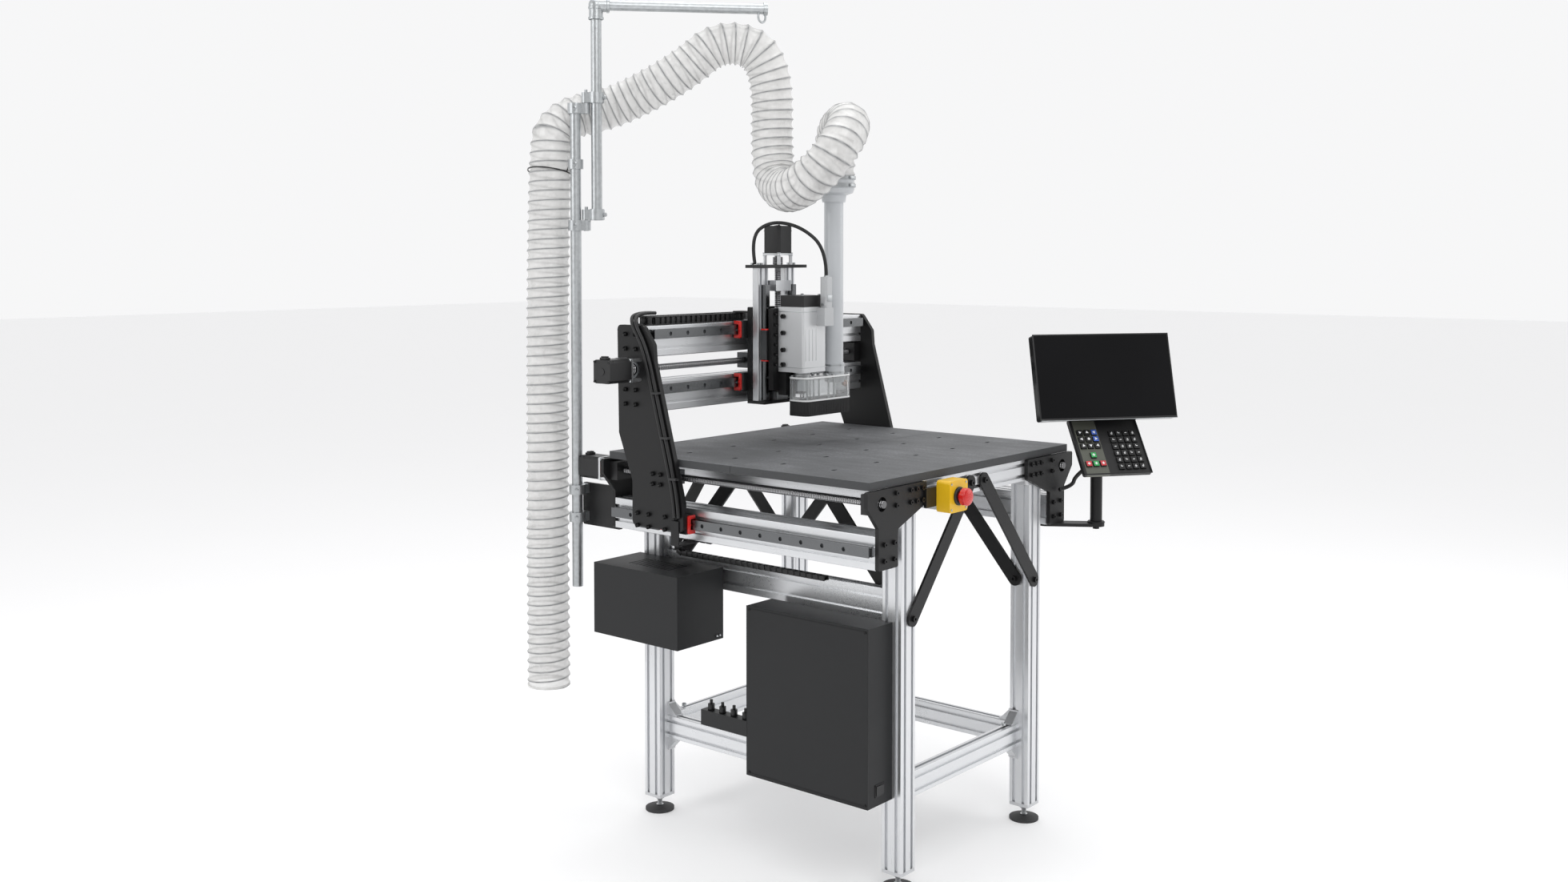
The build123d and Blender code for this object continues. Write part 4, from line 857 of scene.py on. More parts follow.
def cable(name, route, diameter, body=None, blend=None):
    """A cable on a smooth route, riding on one body, or left fixed in place where blend is given."""
    walk = Walk(route_line(route), diameter * 0.45)
    mesh = tube_mesh(walk, 0, walk.count - 1, 14, lambda number, angle: (0.0, diameter / 2), True)
    piece = tube_piece(name, mesh, "cable")
    if blend:
        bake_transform(piece)
    else:
        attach(piece, body)
    return piece


# ---------------------------------------------------------------- operators
class RouterStage(bpy.types.Operator):
    """Set the camera, the floor and the studio lights"""

    bl_idname = "router.stage"
    bl_label = "Stage"

    def surround(self, context):
        """A white room that is greyer on the side where the viewer stands."""
        world = bpy.data.worlds.new("studio")
        world.use_nodes = True
        tree = world.node_tree
        backdrop = tree.nodes["Background"]
        way = tree.nodes.new("ShaderNodeTexCoord")
        aim = tree.nodes.new("ShaderNodeVectorMath")
        aim.operation = "DOT_PRODUCT"
        aim.inputs[1].default_value = (-0.76, -0.64, -0.1)
        tone = tree.nodes.new("ShaderNodeMapRange")
        limits = {"From Min": -0.1, "From Max": 0.9, "To Min": 1.0, "To Max": 0.34}
        for socket, number in limits.items():
            tone.inputs[socket].default_value = number
        tree.links.new(way.outputs["Generated"], aim.inputs[0])
        tree.links.new(aim.outputs["Value"], tone.inputs["Value"])
        tree.links.new(tone.outputs[0], backdrop.inputs["Strength"])
        backdrop.inputs["Color"].default_value = (0.93, 0.93, 0.935, 1)
        context.scene.world = world

    def execute(self, context):
        lens = bpy.data.cameras.new("camera")
        lens.sensor_width = 36
        lens.lens = FOCAL_LENGTH
        lens.shift_y = LENS_SHIFT
        lens.clip_end = 60
        camera = bpy.data.objects.new("camera", lens)
        camera.location = row(*VIEWER)
        camera.rotation_euler = (math.pi / 2 - VIEW_DOWN, 0, VIEW_TURN)
        context.scene.collection.objects.link(camera)
        context.scene.camera = camera
        mesh = bmesh.new()
        bmesh.ops.create_grid(mesh, x_segments=1, y_segments=1, size=30)
        data = bpy.data.meshes.new("floor")
        mesh.to_mesh(data)
        mesh.free()
        data.materials.append(Finishes.get("floor"))
        ground = bpy.data.objects.new("floor", data)
        context.scene.collection.objects.link(ground)
        context.scene.view_settings.view_transform = "Standard"
        self.surround(context)
        for name, place, size, power, aim in (
            ("key", (-2.2, -2.6, 3.4), 2.2, 46, (0, 0, 0.9)),
            ("fill", (3.0, -2.4, 2.4), 2.6, 16, (0, 0, 0.9)),
            ("top", (0.2, 0.4, 4.6), 3.2, 52, (0, 0, 0.8)),
            ("left_rim", (-3.6, 1.6, 2.2), 1.6, 20, (0, 0, 1.0)),
        ):
            lamp = bpy.data.lights.new(name, "AREA")
            lamp.size = size
            lamp.energy = power
            light = bpy.data.objects.new(name, lamp)
            light.location = place
            way = Vector(aim) - Vector(place)
            light.rotation_euler = way.to_track_quat("-Z", "Y").to_euler()
            context.scene.collection.objects.link(light)
        return {"FINISHED"}


class RouterHose(bpy.types.Operator):
    """Wind the ribbed dust hose along its route, in one section for each pair of bodies"""

    bl_idname = "router.hose"
    bl_label = "Dust hose"

    def tie(self, walk):
        """The band round the riser and its two short runs of wire to the pole."""
        held = walk.nearest(row(*TIE))
        centre = TO_ROW.inverted() @ walk.points[held]
        maker = Maker()
        band = facing(centre, walk.ways[held] + Vector((0.18, 0.05, 0)))
        maker.lathe(band, ring(56.4, 58.4, -1.6, 1.6), 56)
        way = (POLE - centre).xy.normalized().to_3d()
        hook = [centre + way * 57 + UP * 3, POLE + UP * (TIE[2] + 14) - way * 24,
                POLE + UP * (TIE[2] + 22) - way * 17]
        for start, end in zip(hook, hook[1:]):
            maker.rod(facing(start, end - start), 1.6, (end - start).length + 0.8, 10)
        maker.done("hose_tie", "frame", "cable")

    def execute(self, context):
        sizes = context.scene.router_sizes
        pitch, height = sizes.hose_pitch, sizes.rib_height
        outer = sizes.hose_diameter / 2
        walk = Walk(route_line(HOSE_ROUTE), pitch / 10)

        def ribbed(number, angle):
            phase = (number * walk.step / pitch - angle / (2 * math.pi)) % 1
            sag = math.sin(math.pi * phase) ** 0.7
            return max(0.0, 1 - 7 * min(phase, 1 - phase)), outer - height * sag

        marks = []
        for word, first, bodies in HOSE_PARTS:
            middle = (Vector(HOSE_ROUTE[first]) + Vector(HOSE_ROUTE[first + 1])) / 2
            marks.append(walk.nearest(MACHINE + middle) if first else 0)
        marks.append(walk.count - 1)
        for (word, first, bodies), start, end in zip(HOSE_PARTS, marks, marks[1:]):
            mesh = tube_mesh(walk, start, end, 40, ribbed, False)
            piece = tube_piece(f"dust_hose_{word}", mesh, "hose")
            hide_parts(f"hose_{word}")
            if len(bodies) == 1:
                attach(piece, bodies[0])
            else:
                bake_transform(piece)
        maker = Maker()
        low = facing(TO_ROW.inverted() @ walk.points[0], walk.ways[0])
        maker.lathe(low, ring(51.2, 54.6, 0.4, 5), 48)
        rim = maker.done("hose_end_rim", "frame", "hose")
        self.tie(walk)
        path = walk.points[marks[1]::-1]
        # a point off the hose's middle where the riser ends; nothing uses it
        hung = path[0] + walk.sides[marks[1]] * outer * 0.48
        return {"FINISHED"}


class RouterCables(bpy.types.Operator):
    """Run the gantry, spindle and station cables"""

    bl_idname = "router.cables"
    bl_label = "Cables"

    def execute(self, context):
        wide = context.scene.router_sizes.cable_diameter
        first = cable("gantry_cable_rear", GANTRY_CABLE, wide, body="gantry")
        second = cable("gantry_cable_front",
                       [(x, y - GANTRY_CABLE_GAP, z) for x, y, z in GANTRY_CABLE], wide,
                       body="gantry")
        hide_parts("gantry_cables")
        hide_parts("gantry_cables")
        spindle = cable("spindle_lead", [*reversed(SPINDLE_CABLE)], wide,
                        blend=("carriage", "z_head"))
        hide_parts("spindle_cable")
        station = cable("station_lead", [*reversed(STATION_CABLE)], STATION_CABLE_DIAMETER,
                        blend=("frame", "station"))
        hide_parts("station_cable")
        wraps = Maker()
        for x, y, z in ((-445.5, 216, 1090), (-445.5, 186, 985), (-445.5, 160, 890)):
            wraps.block((x - 6, y - 19, z - 3), (x + 5.3, y + 6.5, z + 3), 1.2)
        wraps.done("cable_ties", "gantry", "plastic")
        return {"FINISHED"}


def link(maker, place, wide, thick, pitch):
    """One carrier link: two side plates and two cross bars, along local X."""
    for side in (-1, 1):
        face = wide / 2 * side
        maker.block((-pitch * 0.46, -thick / 2, min(face, face - side * 3)),
                    (pitch * 0.46, thick / 2, max(face, face - side * 3)), 0.8, place)
    for height in (-1, 1):
        edge = thick / 2 * height
        maker.block((-pitch * 0.3, min(edge, edge - height * 2), -wide / 2 + 3),
                    (pitch * 0.3, max(edge, edge - height * 2), wide / 2 - 3), 0.5, place)


class RouterCarriers(bpy.types.Operator):
    """Build the links of the two cable carriers"""

    bl_idname = "router.carriers"
    bl_label = "Cable carriers"

    half_turn = [math.pi * step / 12 for step in range(13)]

    def links(self, name, body, line, normal, size):
        """Links end to end along a line, with their faces along the normal."""
        pitch = bpy.context.scene.router_sizes.link_pitch * 1000
        maker = Maker()
        walk = Walk([Vector(point) for point in line], pitch)
        for point, way in zip(walk.points, walk.ways):
            link(maker, facing(point, normal, way), *size, pitch)
        return maker.done(name, body, "plastic")

    def carrier(self, word, bodies, normal, size, resting, moving, blended):
        """One carrier: links at rest on the first body, then links left fixed in place."""
        rest = self.links(f"{word}_carrier_fixed", bodies[0], resting, normal, size)
        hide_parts(f"{word}_cable_carrier")
        run = self.links(f"{word}_carrier_moving", None, moving, normal, size)
        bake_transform(run)
        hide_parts(f"{word}_cable_carrier")

    def execute(self, context):
        z, radius = 1258, 23
        bend = [(-378 - radius * math.sin(turn), 298 + radius * math.cos(turn), z)
                for turn in self.half_turn]
        self.carrier("cross", ("gantry", "carriage"), UP, (21, 13), [(14, 321, z), *bend],
                     [(-362, 275, z), (-72, 275, z)], [(-380, 275, z), (-92, 275, z)])
        x, radius = -310.5, 20
        bend = [(x, 250 + radius * math.sin(turn), 702 - radius * math.cos(turn))
                for turn in self.half_turn]
        self.carrier("long", ("frame", "gantry"), (1, 0, 0), (18, 11), [(x, -192, 682), *bend],
                     [(x, 236, 722), (x, 159, 722)], [(x, 250, 722), (x, 170, 722)])
        return {"FINISHED"}


class RouterSurfaces(bpy.types.Operator):
    """Give every part of the frame its finish"""

    bl_idname = "router.surfaces"
    bl_label = "Surfaces"

    def execute(self, context):
        for finish, nodes in NODE_FINISH.items():
            material = Finishes.get(finish)
            for node in nodes:
                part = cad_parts[node]
                if not part.material_slots:
                    part.data.materials.append(material)
                for slot in part.material_slots:
                    slot.material = material
        return {"FINISHED"}


class RouterScrews(bpy.types.Operator):
    """Set the cap screws in the gantry, carriage, head and boxes"""

    bl_idname = "router.screws"
    bl_label = "Screws"

    def group(self, name, body, places, normal, width, tall=None, finish="black_screw"):
        """Screw heads of one size that all face one way, as one piece."""
        maker = Maker()
        for place in places:
            maker.screw(facing(place, normal), width, tall or width * 0.6)
        maker.done(name, body, finish)

    def execute(self, context):
        wide = context.scene.router_sizes.screw_head * 1000
        for side, word in SIDES:
            x = side * PLATE_OUT
            spots = [(x, y, z) for y in (282, 317) for z in (1058, 1093, 1192, 1227)]
            # the first bolt's place is under the carrier's bracket, so both sides go without it
            bolts = [(block + dy, RAIL_Z + dz) for block in LONG_BLOCKS
                     for dy in (-BLOCK_BOLT, BLOCK_BOLT) for dz in (-15, 15)][1:]
            spots += [(x, y, z) for y, z in bolts]
            spots += [(x, y, LONG_SCREW_Z + dz) for y in (200, 225) for dz in (-12, 12)]
            if side > 0:
                spots += [(x, CROSS_SCREW[0] + dy, CROSS_SCREW[1] + dz) for dy, dz in corners(22)]
            self.group(f"plate_screws_{word}", "gantry", spots, (side, 0, 0), wide)
        spots = [(CARRIAGE_X + dx, 217, z) for dx in (-22, 22) for z in (1062, 1086, 1206, 1250)]
        self.group("carriage_screws", "carriage", spots, (0, -1, 0), 9)
        spots = [(CARRIAGE_X + dx, 156, z) for dx in (-55, 55)
                 for z in (1140, 1165, 1190, 1215, 1240, 1268)]
        self.group("head_plate_screws", "z_head", spots, (0, -1, 0), 8, 4)
        for side, word in SIDES:
            spots = [(CARRIAGE_X + side * 46, 134, z) for z in (1140, 1177, 1220, 1262)]
            self.group(f"spindle_screws_{word}", "z_head", spots, (side, 0, 0), 12, 8)
        spots = [(CARRIAGE_X + dx, 200, 1392) for dx in (-72, -58, 58, 72)]
        spots += [(CARRIAGE_X + dx, 218, 1392) for dx in (-72, 72)]
        self.group("column_screws", "carriage", spots, UP, 9, 5, "zinc")
        spots = [(-388, y, z) for y in (-369, -33) for z in (218, 599)]
        self.group("cover_screws", "frame", spots, (-1, 0, 0), 6, 1.6)
        spots = [(x, 130, 497) for x in (-322, -312)]
        self.group("box_studs", "frame", spots, (0, -1, 0), 6, 3, "zinc")
        spots = [(x, y, 252.2) for x in (-232, -196, 196, 232) for y in (-360, 360)]
        self.group("angle_screws", "frame", spots, UP, 12, 6, "zinc")
        return {"FINISHED"}


class RouterBearingCaps(bpy.types.Operator):
    """Fit the red end seals and greasing nipples of the rail blocks"""

    bl_idname = "router.bearing_caps"
    bl_label = "Bearing caps"

    def seals(self, name, body, blocks, way, outward, wide, low, high, gap, thick=5.0):
        """Two seals for each block: places on the rail's foot, with the rail's way."""
        maker = Maker()
        way, outward = Vector(way), Vector(outward)
        outline = [(-wide / 2, low), (-gap, low), (-gap, high * 0.72), (gap, high * 0.72),
                   (gap, low), (wide / 2, low), (wide / 2, high - 3), (wide / 2 - 3, high),
                   (-wide / 2 + 3, high), (-wide / 2, high - 3)]
        for place, half in blocks:
            for end in (-1, 1):
                start = Vector(place) + way * end * half
                side = outward.cross(way * end)
                maker.prism(facing(start, way * end, side), outline, thick, 0.7)
                spot = start + way * end * thick + outward * (high * 0.86)
                maker.rod(facing(spot, way * end), 2.2, 3, 10)
        maker.done(name, body, "red_cap")

    def execute(self, context):
        for side, word in SIDES:
            blocks = [((side * BEAM_OUT, y, RAIL_Z), BLOCK_HALF) for y in LONG_BLOCKS]
            self.seals(f"long_seals_{word}", "gantry", blocks, (0, 1, 0), (side, 0, 0),
                       44, 5.5, 29, 13)
        blocks = [((CARRIAGE_X + dx, 262, z), BLOCK_HALF) for dx in (-57, 57)
                  for z in CROSS_RAILS]
        self.seals("cross_seals", "carriage", blocks, (1, 0, 0), (0, -1, 0), 44, 5.5, 29, 13)
        blocks = [((CARRIAGE_X + dx, 197, 1188), 38) for dx in (-53, 53)]
        self.seals("head_seals", "z_head", blocks, (0, 0, 1), (0, -1, 0), 32, 5, 24.5, 9, 3.5)
        return {"FINISHED"}


class RouterMotors(bpy.types.Operator):
    """Add the motors' end bells, screws, plugs and couplings"""

    bl_idname = "router.motors"
    bl_label = "Motor details"

    bolts, length = corners(23.5), 76

    def details(self, name, body, face):
        """Details in a motor's own frame: Z from its flange along the body."""
        maker = Maker()
        maker.block((-26, -26, 62), (26, 26, 63.5), 0.5, face)
        for x, y in self.bolts:
            maker.screw(face @ Matrix.Translation((x, y, self.length)), 6, 2.4)
        maker.block((-11, -33.5, 58), (11, -28, 73), 1.2, face)
        maker.block((-8, -36.5, 60), (8, -33.5, 71), 0.8, face)
        maker.rod(face @ Matrix.Translation((0, 0, self.length)), 9, 1.2, 24)
        maker.done(name, body, "plastic")
        trim = Maker()
        trim.block((-27.8, -27.8, 6.2), (27.8, 27.8, 7.4), 0.3, face)
        for x, y in self.bolts:
            trim.rod(face @ Matrix.Translation((x, y, -2)), 5.4, 2, 16)
        trim.done(f"{name}_trim", body, "zinc")

    def execute(self, context):
        for side, word in SIDES:
            face = facing((side * LONG_SCREW_X, 439.5, LONG_SCREW_Z), (0, 1, 0), (1, 0, 0))
            self.details(f"long_motor_{word}", "frame", face)
            maker = Maker()
            place = facing((side * LONG_SCREW_X, 416.5, LONG_SCREW_Z), (0, 1, 0))
            maker.lathe(place, [(8.4, 0), (13.6, 0), (13.6, 8), (12.4, 9), (12.4, 11), (13.6, 12),
                                (13.6, 18), (8.4, 18)], 32)
            maker.done(f"coupling_{word}", f"long_screw_{word}", "coupling")
        face = facing((-468, *CROSS_SCREW), (-1, 0, 0), (0, 1, 0))
        self.details("cross_motor_body", "gantry", face)
        face = facing((CARRIAGE_X, Z_SCREW_Y, 1416), UP, (-1, 0, 0))
        self.details("z_motor_body", "carriage", face)
        maker = Maker()
        place = facing((-PLATE_OUT - 0.2, *CROSS_SCREW), (-1, 0, 0))
        maker.lathe(place, ring(15.6, 21, 0, 3), 36)
        maker.done("cross_screw_collar", "gantry", "zinc")
        return {"FINISHED"}


class RouterSpindle(bpy.types.Operator):
    """Add the spindle's seams, flutes, cap screws, plug details and nose ring"""

    bl_idname = "router.spindle"
    bl_label = "Spindle details"

    def execute(self, context):
        maker = Maker()
        for z in (1133, 1274):
            maker.block((CARRIAGE_X - 46.4, 70.6, z - 0.8),
                        (CARRIAGE_X + 46.4, 155.6, z + 0.8), 0.3)
        maker.done("spindle_seams", "z_head", "zinc")
        maker = Maker()
        for x in (-36, -22, -8, 6):
            maker.block((CARRIAGE_X + x - 1, 70.2, 1150), (CARRIAGE_X + x + 1, 71.4, 1230), 0.3)
        maker.done("spindle_flutes", "z_head", "spindle")
        maker = Maker()
        for dx in (-33, 33):
            for y in (83, 139):
                maker.screw(facing((CARRIAGE_X + dx, y, 1315), UP), 8, 3)
        maker.rod(facing(PLUG + UP * 1356, UP), 9, 10, 20, 5.2, 0.6)
        maker.block(PLUG + Vector((-10, -12.5, 1300)), PLUG + Vector((10, -10.8, 1316)), 0.6)
        for side in (-1, 1):
            maker.rod(facing(PLUG + Vector((side * 13.5, 0, 1292)), (side, 0, 0)), 3, 4, 12)
        maker.done("spindle_plug_details", "z_head", "zinc")
        maker = Maker()
        place = facing((CARRIAGE_X, SPINDLE_Y, 1121), -UP)
        maker.lathe(place, [(22.2, 0), (24, 0), (24, 5), (23, 6.5), (22.2, 6.5)], 40)
        maker.done("nose_ring", "z_head", "zinc")
        return {"FINISHED"}


class RouterDustShoe(bpy.types.Operator):
    """Trim the dust shoe: brush tufts, rims, posts, thumb screw and the hose's bands"""

    bl_idname = "router.dust_shoe"
    bl_label = "Dust shoe"

    def perimeter(self, long, deep, corner, count):
        """Even places round a rounded rectangle, each with its outward way."""
        half_x, half_y = long / 2 - corner, deep / 2 - corner
        straight = 4 * (half_x + half_y)
        total = straight + 2 * math.pi * corner
        legs = [((half_x, -half_y), (0, 1), 2 * half_y), ((half_x, half_y), (-1, 0), 2 * half_x),
                ((-half_x, half_y), (0, -1), 2 * half_y), ((-half_x, -half_y), (1, 0), 2 * half_x)]
        places = []
        for number in range(count):
            far = total * number / count
            for (start, way, run) in legs:
                out = Vector((way[1], -way[0]))
                if far < run:
                    spot = Vector(start) + Vector(way) * far + out * corner
                    places.append((spot, out))
                    break
                far -= run
                bend = math.pi / 2 * corner
                if far < bend:
                    angle = far / corner
                    end = Vector(start) + Vector(way) * run
                    spin = out * math.cos(angle) + Vector(way) * math.sin(angle)
                    places.append((end + spin * corner, spin))
                    break
                far -= bend
        return places

    def execute(self, context):
        low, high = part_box("dust_shoe")
        centre = TO_ROW.inverted() @ ((low + high) / 2)
        count = context.scene.router_sizes.tufts
        maker = Maker()
        for number, (spot, out) in enumerate(self.perimeter(184, 60, 15, count)):
            sway = 0.8 * math.sin(number * 2.4)
            foot = Vector((centre.x + spot.x, centre.y + spot.y, 1046))
            way = Vector((out.x * (1.2 + sway) * 0.02, out.y * (1.2 + sway) * 0.02, -1))
            reach = 35.5 + 0.6 * math.cos(number * 1.7)
            maker.rod(facing(foot, way, (out.x, out.y, 0)), 2.1, reach, 5, 1.5)
        maker.done("brush_tufts", "z_head", "bristle")
        for name, z, tall in (("shoe_rim_low", 1047.2, 4), ("shoe_rim_high", 1104, 4.2)):
            maker = Maker()
            edges = []
            for size in ((184.5, 60.5, 16), (190.2, 66.2, 18.5)):
                verts = [maker.mesh.verts.new((centre.x + spot.x, centre.y + spot.y, z))
                         for spot, out in self.perimeter(*size, 72)]
                edges += [maker.mesh.edges.new(pair) for pair in zip(verts, verts[1:] + verts[:1])]
            made = bmesh.ops.bridge_loops(maker.mesh, edges=edges)
            grown = bmesh.ops.extrude_face_region(maker.mesh, geom=made["faces"])["geom"]
            tops = [part for part in grown if isinstance(part, bmesh.types.BMVert)]
            bmesh.ops.translate(maker.mesh, vec=(0, 0, tall), verts=tops)
            maker.done(name, "z_head", "white_rim")
        maker = Maker()
        for x in (-44, 40, 62, 126):
            for y in (74.5, 123.5):
                maker.rod(facing((x, y, 1051), UP), 2.4, 57.6, 12)
                maker.screw(facing((x, y, 1108), UP), 8, 3.4)
        maker.done("shoe_posts", "z_head", "zinc")
        maker = Maker()
        maker.rod(facing((134, DUCT.y, 1080), (1, 0, 0)), 4, 9, 16, bevel=0.5)
        maker.rod(facing((143, DUCT.y, 1080), (1, 0, 0)), 8.5, 6, 24, bevel=0.8)
        maker.done("shoe_thumb_screw", "z_head", "coupling")
        maker = Maker()
        up = facing(DUCT, UP)
        for z in (1112, 1130):
            maker.lathe(up, ring(28.05, 28.7, z, z + 4), 40)
        for z in (1592, 1612):
            maker.lathe(up, ring(55.6, 57.2, z, z + 8), 56)
        for z in (1592, 1612):
            maker.block((DUCT.x - 8, DUCT.y - 62, z), (DUCT.x + 8, DUCT.y - 56.5, z + 8), 1)
        maker.done("hose_bands", "z_head", "zinc")
        return {"FINISHED"}


class RouterBoxes(bpy.types.Operator):
    """Add seams, connectors, collars, a switch bezel and plugs to the electrical boxes"""

    bl_idname = "router.boxes"
    bl_label = "Electrical boxes"

    def execute(self, context):
        maker = Maker()
        for y in (-377.3, -25.9):
            maker.block((-388.4, y, 209.8), (-386, y + 1.2, 607.2), 0.3)
        for z in (209.7, 606.4):
            maker.block((-388.4, -376, z), (-386, -26, z + 1), 0.3)
        for x in (-458.3, -299):
            maker.block((x, 129.8, 486.8), (x + 1.3, 131.2, 661.2), 0.3)
        for z in (600.6, 215.6):
            maker.block((-388.9, -372.5, z), (-387.9, -29.5, z + 0.8))
        maker.done("box_seams", "frame", "casing")
        maker = Maker()
        for height, radius in ((441, 9), (466, 8), (490, 8), (517, 9)):
            maker.rod(facing((BOX_FITTINGS_X, -25, height), (0, 1, 0)), radius, 16, 20, bevel=0.8)
            maker.rod(facing((BOX_FITTINGS_X, -9, height), (0, 1, 0)), radius * 0.6, 12, 16,
                      bevel=0.5)
        maker.done("rear_connectors", "frame", "plastic")
        for name, height, finish in (("collar_red", 441, "red_cap"),
                                     ("collar_green", 466, "key_green"),
                                     ("collar_blue", 490, "key_blue")):
            maker = Maker()
            maker.lathe(facing((BOX_FITTINGS_X, -22, height), (0, 1, 0)), ring(9.2, 10.6, 0, 5), 28)
            maker.done(name, "frame", finish)
        maker = Maker()
        place = facing((-346, -377, 244), (0, -1, 0), (1, 0, 0))
        for x in (-17, 14):
            maker.block((x, -14, 0), (x + 3, 14, 1.2), 0.4, place)
        for y in (-14, 11):
            maker.block((-17, y, 0), (17, y + 3, 1.2), 0.4, place)
        maker.done("switch_bezel", "frame", "plastic")
        maker = Maker()
        for y in (93, 131, 169, 207):
            maker.rod(facing((-257.5, y, 286), UP), 8.6, 16, 20, bevel=1)
            maker.rod(facing((-257.5, y, 302), UP), 4, 10, 14, bevel=0.5)
        maker.done("strip_plugs", "frame", "plastic")
        return {"FINISHED"}


class RouterStation(bpy.types.Operator):
    """Dress the operator's station: bezel, trim strip, tray lip, key caps, legends, collars"""

    bl_idname = "router.station"
    bl_label = "Operator station"

    stop_keys = [(-71, -50), (-33, -50)]
    start_keys = [(-52, -26), (-52, -50)]
    jog_centre = (-52, 20)
    number_centre = (42, -13)

    def leaning(self, centre, lean):
        """Frame of a face that looks at the operator and leans back."""
        return facing(centre, FORWARD * math.cos(lean) + UP * math.sin(lean), ACROSS)

    def screen(self, glass):
        """Bezel, rear cover, vents and the strip along the screen's foot."""
        wide, tall, proud = 369 / 2, 216 / 2, 0.6
        side, top, foot = 3, 3, 5
        maker = Maker()
        for low, high in (
            ((-wide - proud, tall - top), (wide + proud, tall + proud)),
            ((-wide - proud, -tall - proud), (wide + proud, -tall + foot)),
            ((-wide - proud, -tall + foot), (-wide + side, tall - top)),
            ((wide - side, -tall + foot), (wide + proud, tall - top)),
        ):
            maker.block((*low, 0), (*high, 1.2), 0.4, glass)
        maker.block((-60, -60, -31), (60, 60, -24), 2, glass)
        for x in (-50, -30, -10, 10, 30, 50):
            maker.block((x - 7, 70, -25.2), (x + 7, 73, -24), 0.4, glass)
        maker.done("screen_bezel", "station", "plastic")
        maker = Maker()
        maker.block((-wide + 2, -tall - 1.3, -3), (wide - 2, -tall + 0.4, 2.2), 0.4, glass)
        maker.done("screen_trim", "station", "zinc")

    def tray_and_caps(self, tray):
        """The tray's raised edge and the coloured caps of its control keys."""
        maker = Maker()
        for x in (-91.3, 88.3):
            maker.block((x, -80.4, -0.2), (x + 3, 80.4, 3.2), 0.8, tray)
        for y in (-80.6, 77.6):
            maker.block((-91.3, y, -0.2), (91.3, y + 3, 3.2), 0.8, tray)
        maker.done("tray_lip", "station", "coated")
        caps = {"key_green": self.start_keys, "key_red": self.stop_keys,
                "key_blue": [(-33, 20), (-33, 39)]}
        for finish, places in caps.items():
            maker = Maker()
            for x, y in places:
                maker.block((x - 6.9, y - 6.9, 3.9), (x + 6.9, y + 6.9, 4.7), 0.35, tray)
            maker.done(f"{finish}_caps", "control_keys", finish)

    def control_legends(self, tray):
        """Arrows round the jog keys' dot, and a cross on each of the four keys below."""
        maker = Maker()
        base, thick, reach = 4.6, 0.35, 4.6
        arrow = [(reach * math.cos(turn), reach * math.sin(turn)) for turn in
                 (math.pi / 2, math.pi * 7 / 6, math.pi * 11 / 6)]
        for i in (-1, 0, 1):
            for j in (-1, 0, 1):
                spot = Matrix.Translation((self.jog_centre[0] + KEY_PITCH * i,
                                           self.jog_centre[1] + KEY_PITCH * j, base))
                if (i, j) == (0, 0):
                    maker.rod(tray @ spot, 3.4, thick, 16)
                    continue
                turned = Matrix.Rotation(math.atan2(-i, j), 4, "Z")
                maker.prism(tray @ spot @ turned, arrow, thick)
        for x, y in self.start_keys + self.stop_keys:
            maker.block((x - 3.6, y - 1.1, base), (x + 3.6, y + 1.1, 4.95), place=tray)
            maker.block((x - 1.1, y - 3.6, base), (x + 1.1, y + 3.6, 4.96), place=tray)
        maker.done("control_legends", "control_keys", "legend")

    def number_legends(self, tray):
        """Plain strokes on the number keys, in four patterns."""
        maker = Maker()
        base, top = 4, 4.3
        for i in range(4):
            for j in range(6):
                x = self.number_centre[0] + KEY_PITCH * (i - 1.5)
                y = self.number_centre[1] + KEY_PITCH * (j - 2.5)
                kind = (i * 5 + j * 3) % 4
                maker.block((x - 2.6, y - 0.8, base), (x + 2.6, y + 0.8, top), place=tray)
                if kind != 1:
                    maker.block((x - 2.6 + kind, y - 0.8, base), (x - 1.2 + kind, y + 3.4, top),
                                place=tray)
                if kind > 1:
                    maker.block((x - 2.6, y - 3.4, base), (x + 1.6, y - 2.2, top), place=tray)
        maker.done("number_legends", "number_keys", "legend")

    def execute(self, context):
        glass = self.leaning(SCREEN, SCREEN_LEAN)
        tray = self.leaning(TRAY, TRAY_LEAN)
        self.screen(glass)
        self.tray_and_caps(tray)
        self.control_legends(tray)
        self.number_legends(tray)
        maker = Maker()
        base = facing(POST + UP * 740, UP)
        maker.lathe(base, [(15.2, 0), (22, 0), (22, 3), (20, 5), (15.2, 5)], 36)
        maker.lathe(base, [(15.1, 146), (16.6, 147), (16.6, 149), (15.1, 149.6)], 36)
        maker.rod(facing(POST + UP * 732, -UP), 9, 7, 6)
        maker.done("post_collars", "frame", "coated")
        return {"FINISHED"}


class RouterStop(bpy.types.Operator):
    """Add the emergency stop's collar, box screws and button crown"""

    bl_idname = "router.stop"
    bl_label = "Emergency stop"

    def execute(self, context):
        maker = Maker()
        front = facing(STOP_FRONT, (0, -1, 0), (1, 0, 0))
        maker.lathe(front, [(12.2, 0.1), (21, 0.1), (21, 3), (18.5, 5.4), (12.2, 5.4)], 40)
        maker.done("stop_collar", "frame", "plastic")
        maker = Maker()
        for x, y in corners(29):
            maker.screw(front @ Matrix.Translation((x, y, 0)), 5.5, 1.2)
        maker.done("stop_screws", "frame", "zinc")
        maker = Maker()
        crown = [(0.2, 26.6), (15, 26.6), (17.5, 27.4), (13, 29.4), (7, 30.4), (0.2, 30.6)]
        maker.lathe(front, crown, 40)
        maker.done("stop_crown", "emergency_stop_button", "stop_red")
        return {"FINISHED"}


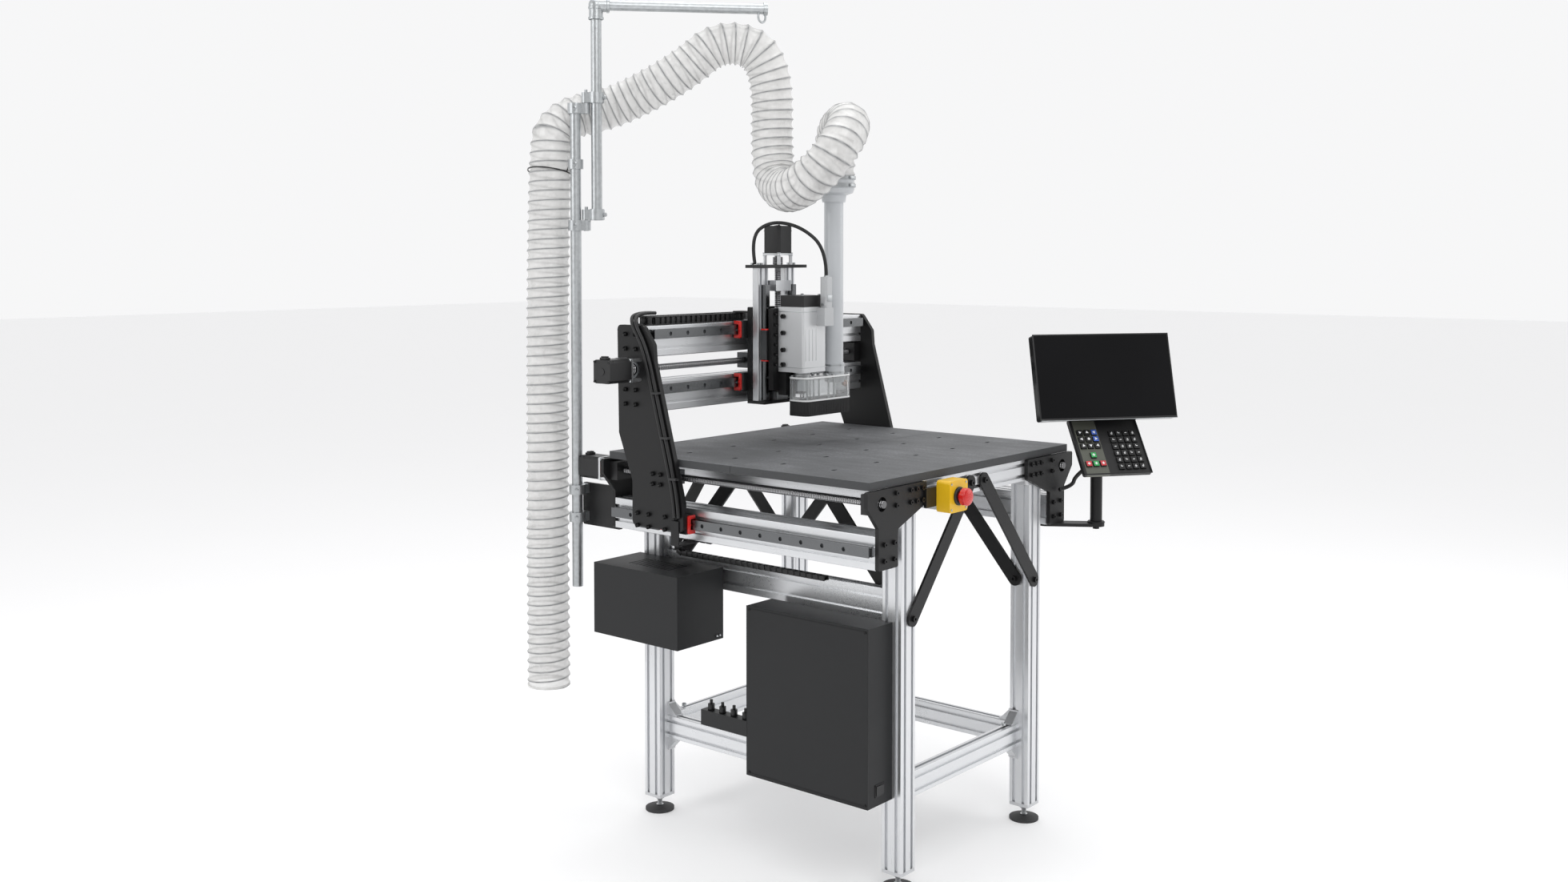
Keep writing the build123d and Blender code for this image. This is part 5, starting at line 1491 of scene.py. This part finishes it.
class RouterPipework(bpy.types.Operator):
    """Add the pipework's set screws, end plug, hinge pins and rims"""

    bl_idname = "router.pipework"
    bl_label = "Pipework"

    def heading(self, turn):
        """The level direction at an angle from X."""
        return Vector((math.cos(turn), math.sin(turn), 0))

    def execute(self, context):
        maker = Maker()
        way = self.heading(-2.4)
        for z in (1492, 1786, 1646, 752, 822):
            maker.rod(facing(POLE + UP * z + way * 17, way), 5.2, 9, 6, bevel=0.5)
            maker.rod(facing(POLE + UP * z + way * 26, way), 3.0, 3, 12)
        maker.rod(facing(POLE + UP * 1785, UP), 14.2, 3, 28, bevel=0.8)
        for z in (1484, 1778):
            maker.rod(facing(HINGE + UP * z, -UP), 7, 6, 6)
        maker.done("pole_fixings", "frame", "zinc")
        maker = Maker()
        way = self.heading(2.0)
        for z in (1519, 1813):
            maker.rod(facing(BOOM + UP * z - way * 17, -way), 5.2, 9, 6, bevel=0.5)
        elbow = facing(BOOM + UP * 2008, UP)
        for z in (0, 26):
            maker.lathe(elbow, [(17.4, z), (19.6, z + 1), (19.6, z + 6), (17.4, z + 7)], 32)
        arm = facing(BOOM + UP * 2045, self.heading(BOOM_HEADING))
        maker.lathe(arm, [(17.4, 26), (19.6, 27), (19.6, 33), (17.4, 34)], 32)
        for z in (1506, 1532, 1800, 1826):
            maker.lathe(facing(BOOM + UP * z, UP), ring(13.8, 17.5, -1.2, 1.2), 28)
        maker.done("boom_fixings", "boom", "pipe")
        return {"FINISHED"}


STEPS = [
    RouterStage, RouterHose, RouterCables, RouterCarriers, RouterSurfaces, RouterScrews,
    RouterBearingCaps, RouterMotors, RouterSpindle, RouterDustShoe, RouterBoxes, RouterStation,
    RouterStop, RouterPipework,
]


class RouterPanel(bpy.types.Panel):
    """Sizes, colours and building steps of the router table"""

    bl_idname = "VIEW3D_PT_router"
    bl_label = "Router table"
    bl_space_type = "VIEW_3D"
    bl_region_type = "UI"
    bl_category = "Router"

    def draw(self, context):
        for group in (context.scene.router_sizes, context.scene.router_colours):
            box = self.layout.box()
            for name in group.bl_rna.properties.keys():
                if name not in ("rna_type", "name"):
                    box.prop(group, name)
        for step in STEPS:
            self.layout.operator(step.bl_idname)


CLASSES = [RouterSizes, RouterColours, *STEPS, RouterPanel]


def register():
    for part in CLASSES:
        bpy.utils.register_class(part)
    bpy.types.Scene.router_sizes = PointerProperty(type=RouterSizes)
    bpy.types.Scene.router_colours = PointerProperty(type=RouterColours)


def unregister():
    del bpy.types.Scene.router_colours
    del bpy.types.Scene.router_sizes
    for part in reversed(CLASSES):
        bpy.utils.unregister_class(part)


def main():
    register()
    for step in STEPS:
        group, name = step.bl_idname.split(".")
        getattr(getattr(bpy.ops, group), name)()
    bpy.context.view_layer.update()


if __name__ == "__main__":
    main()
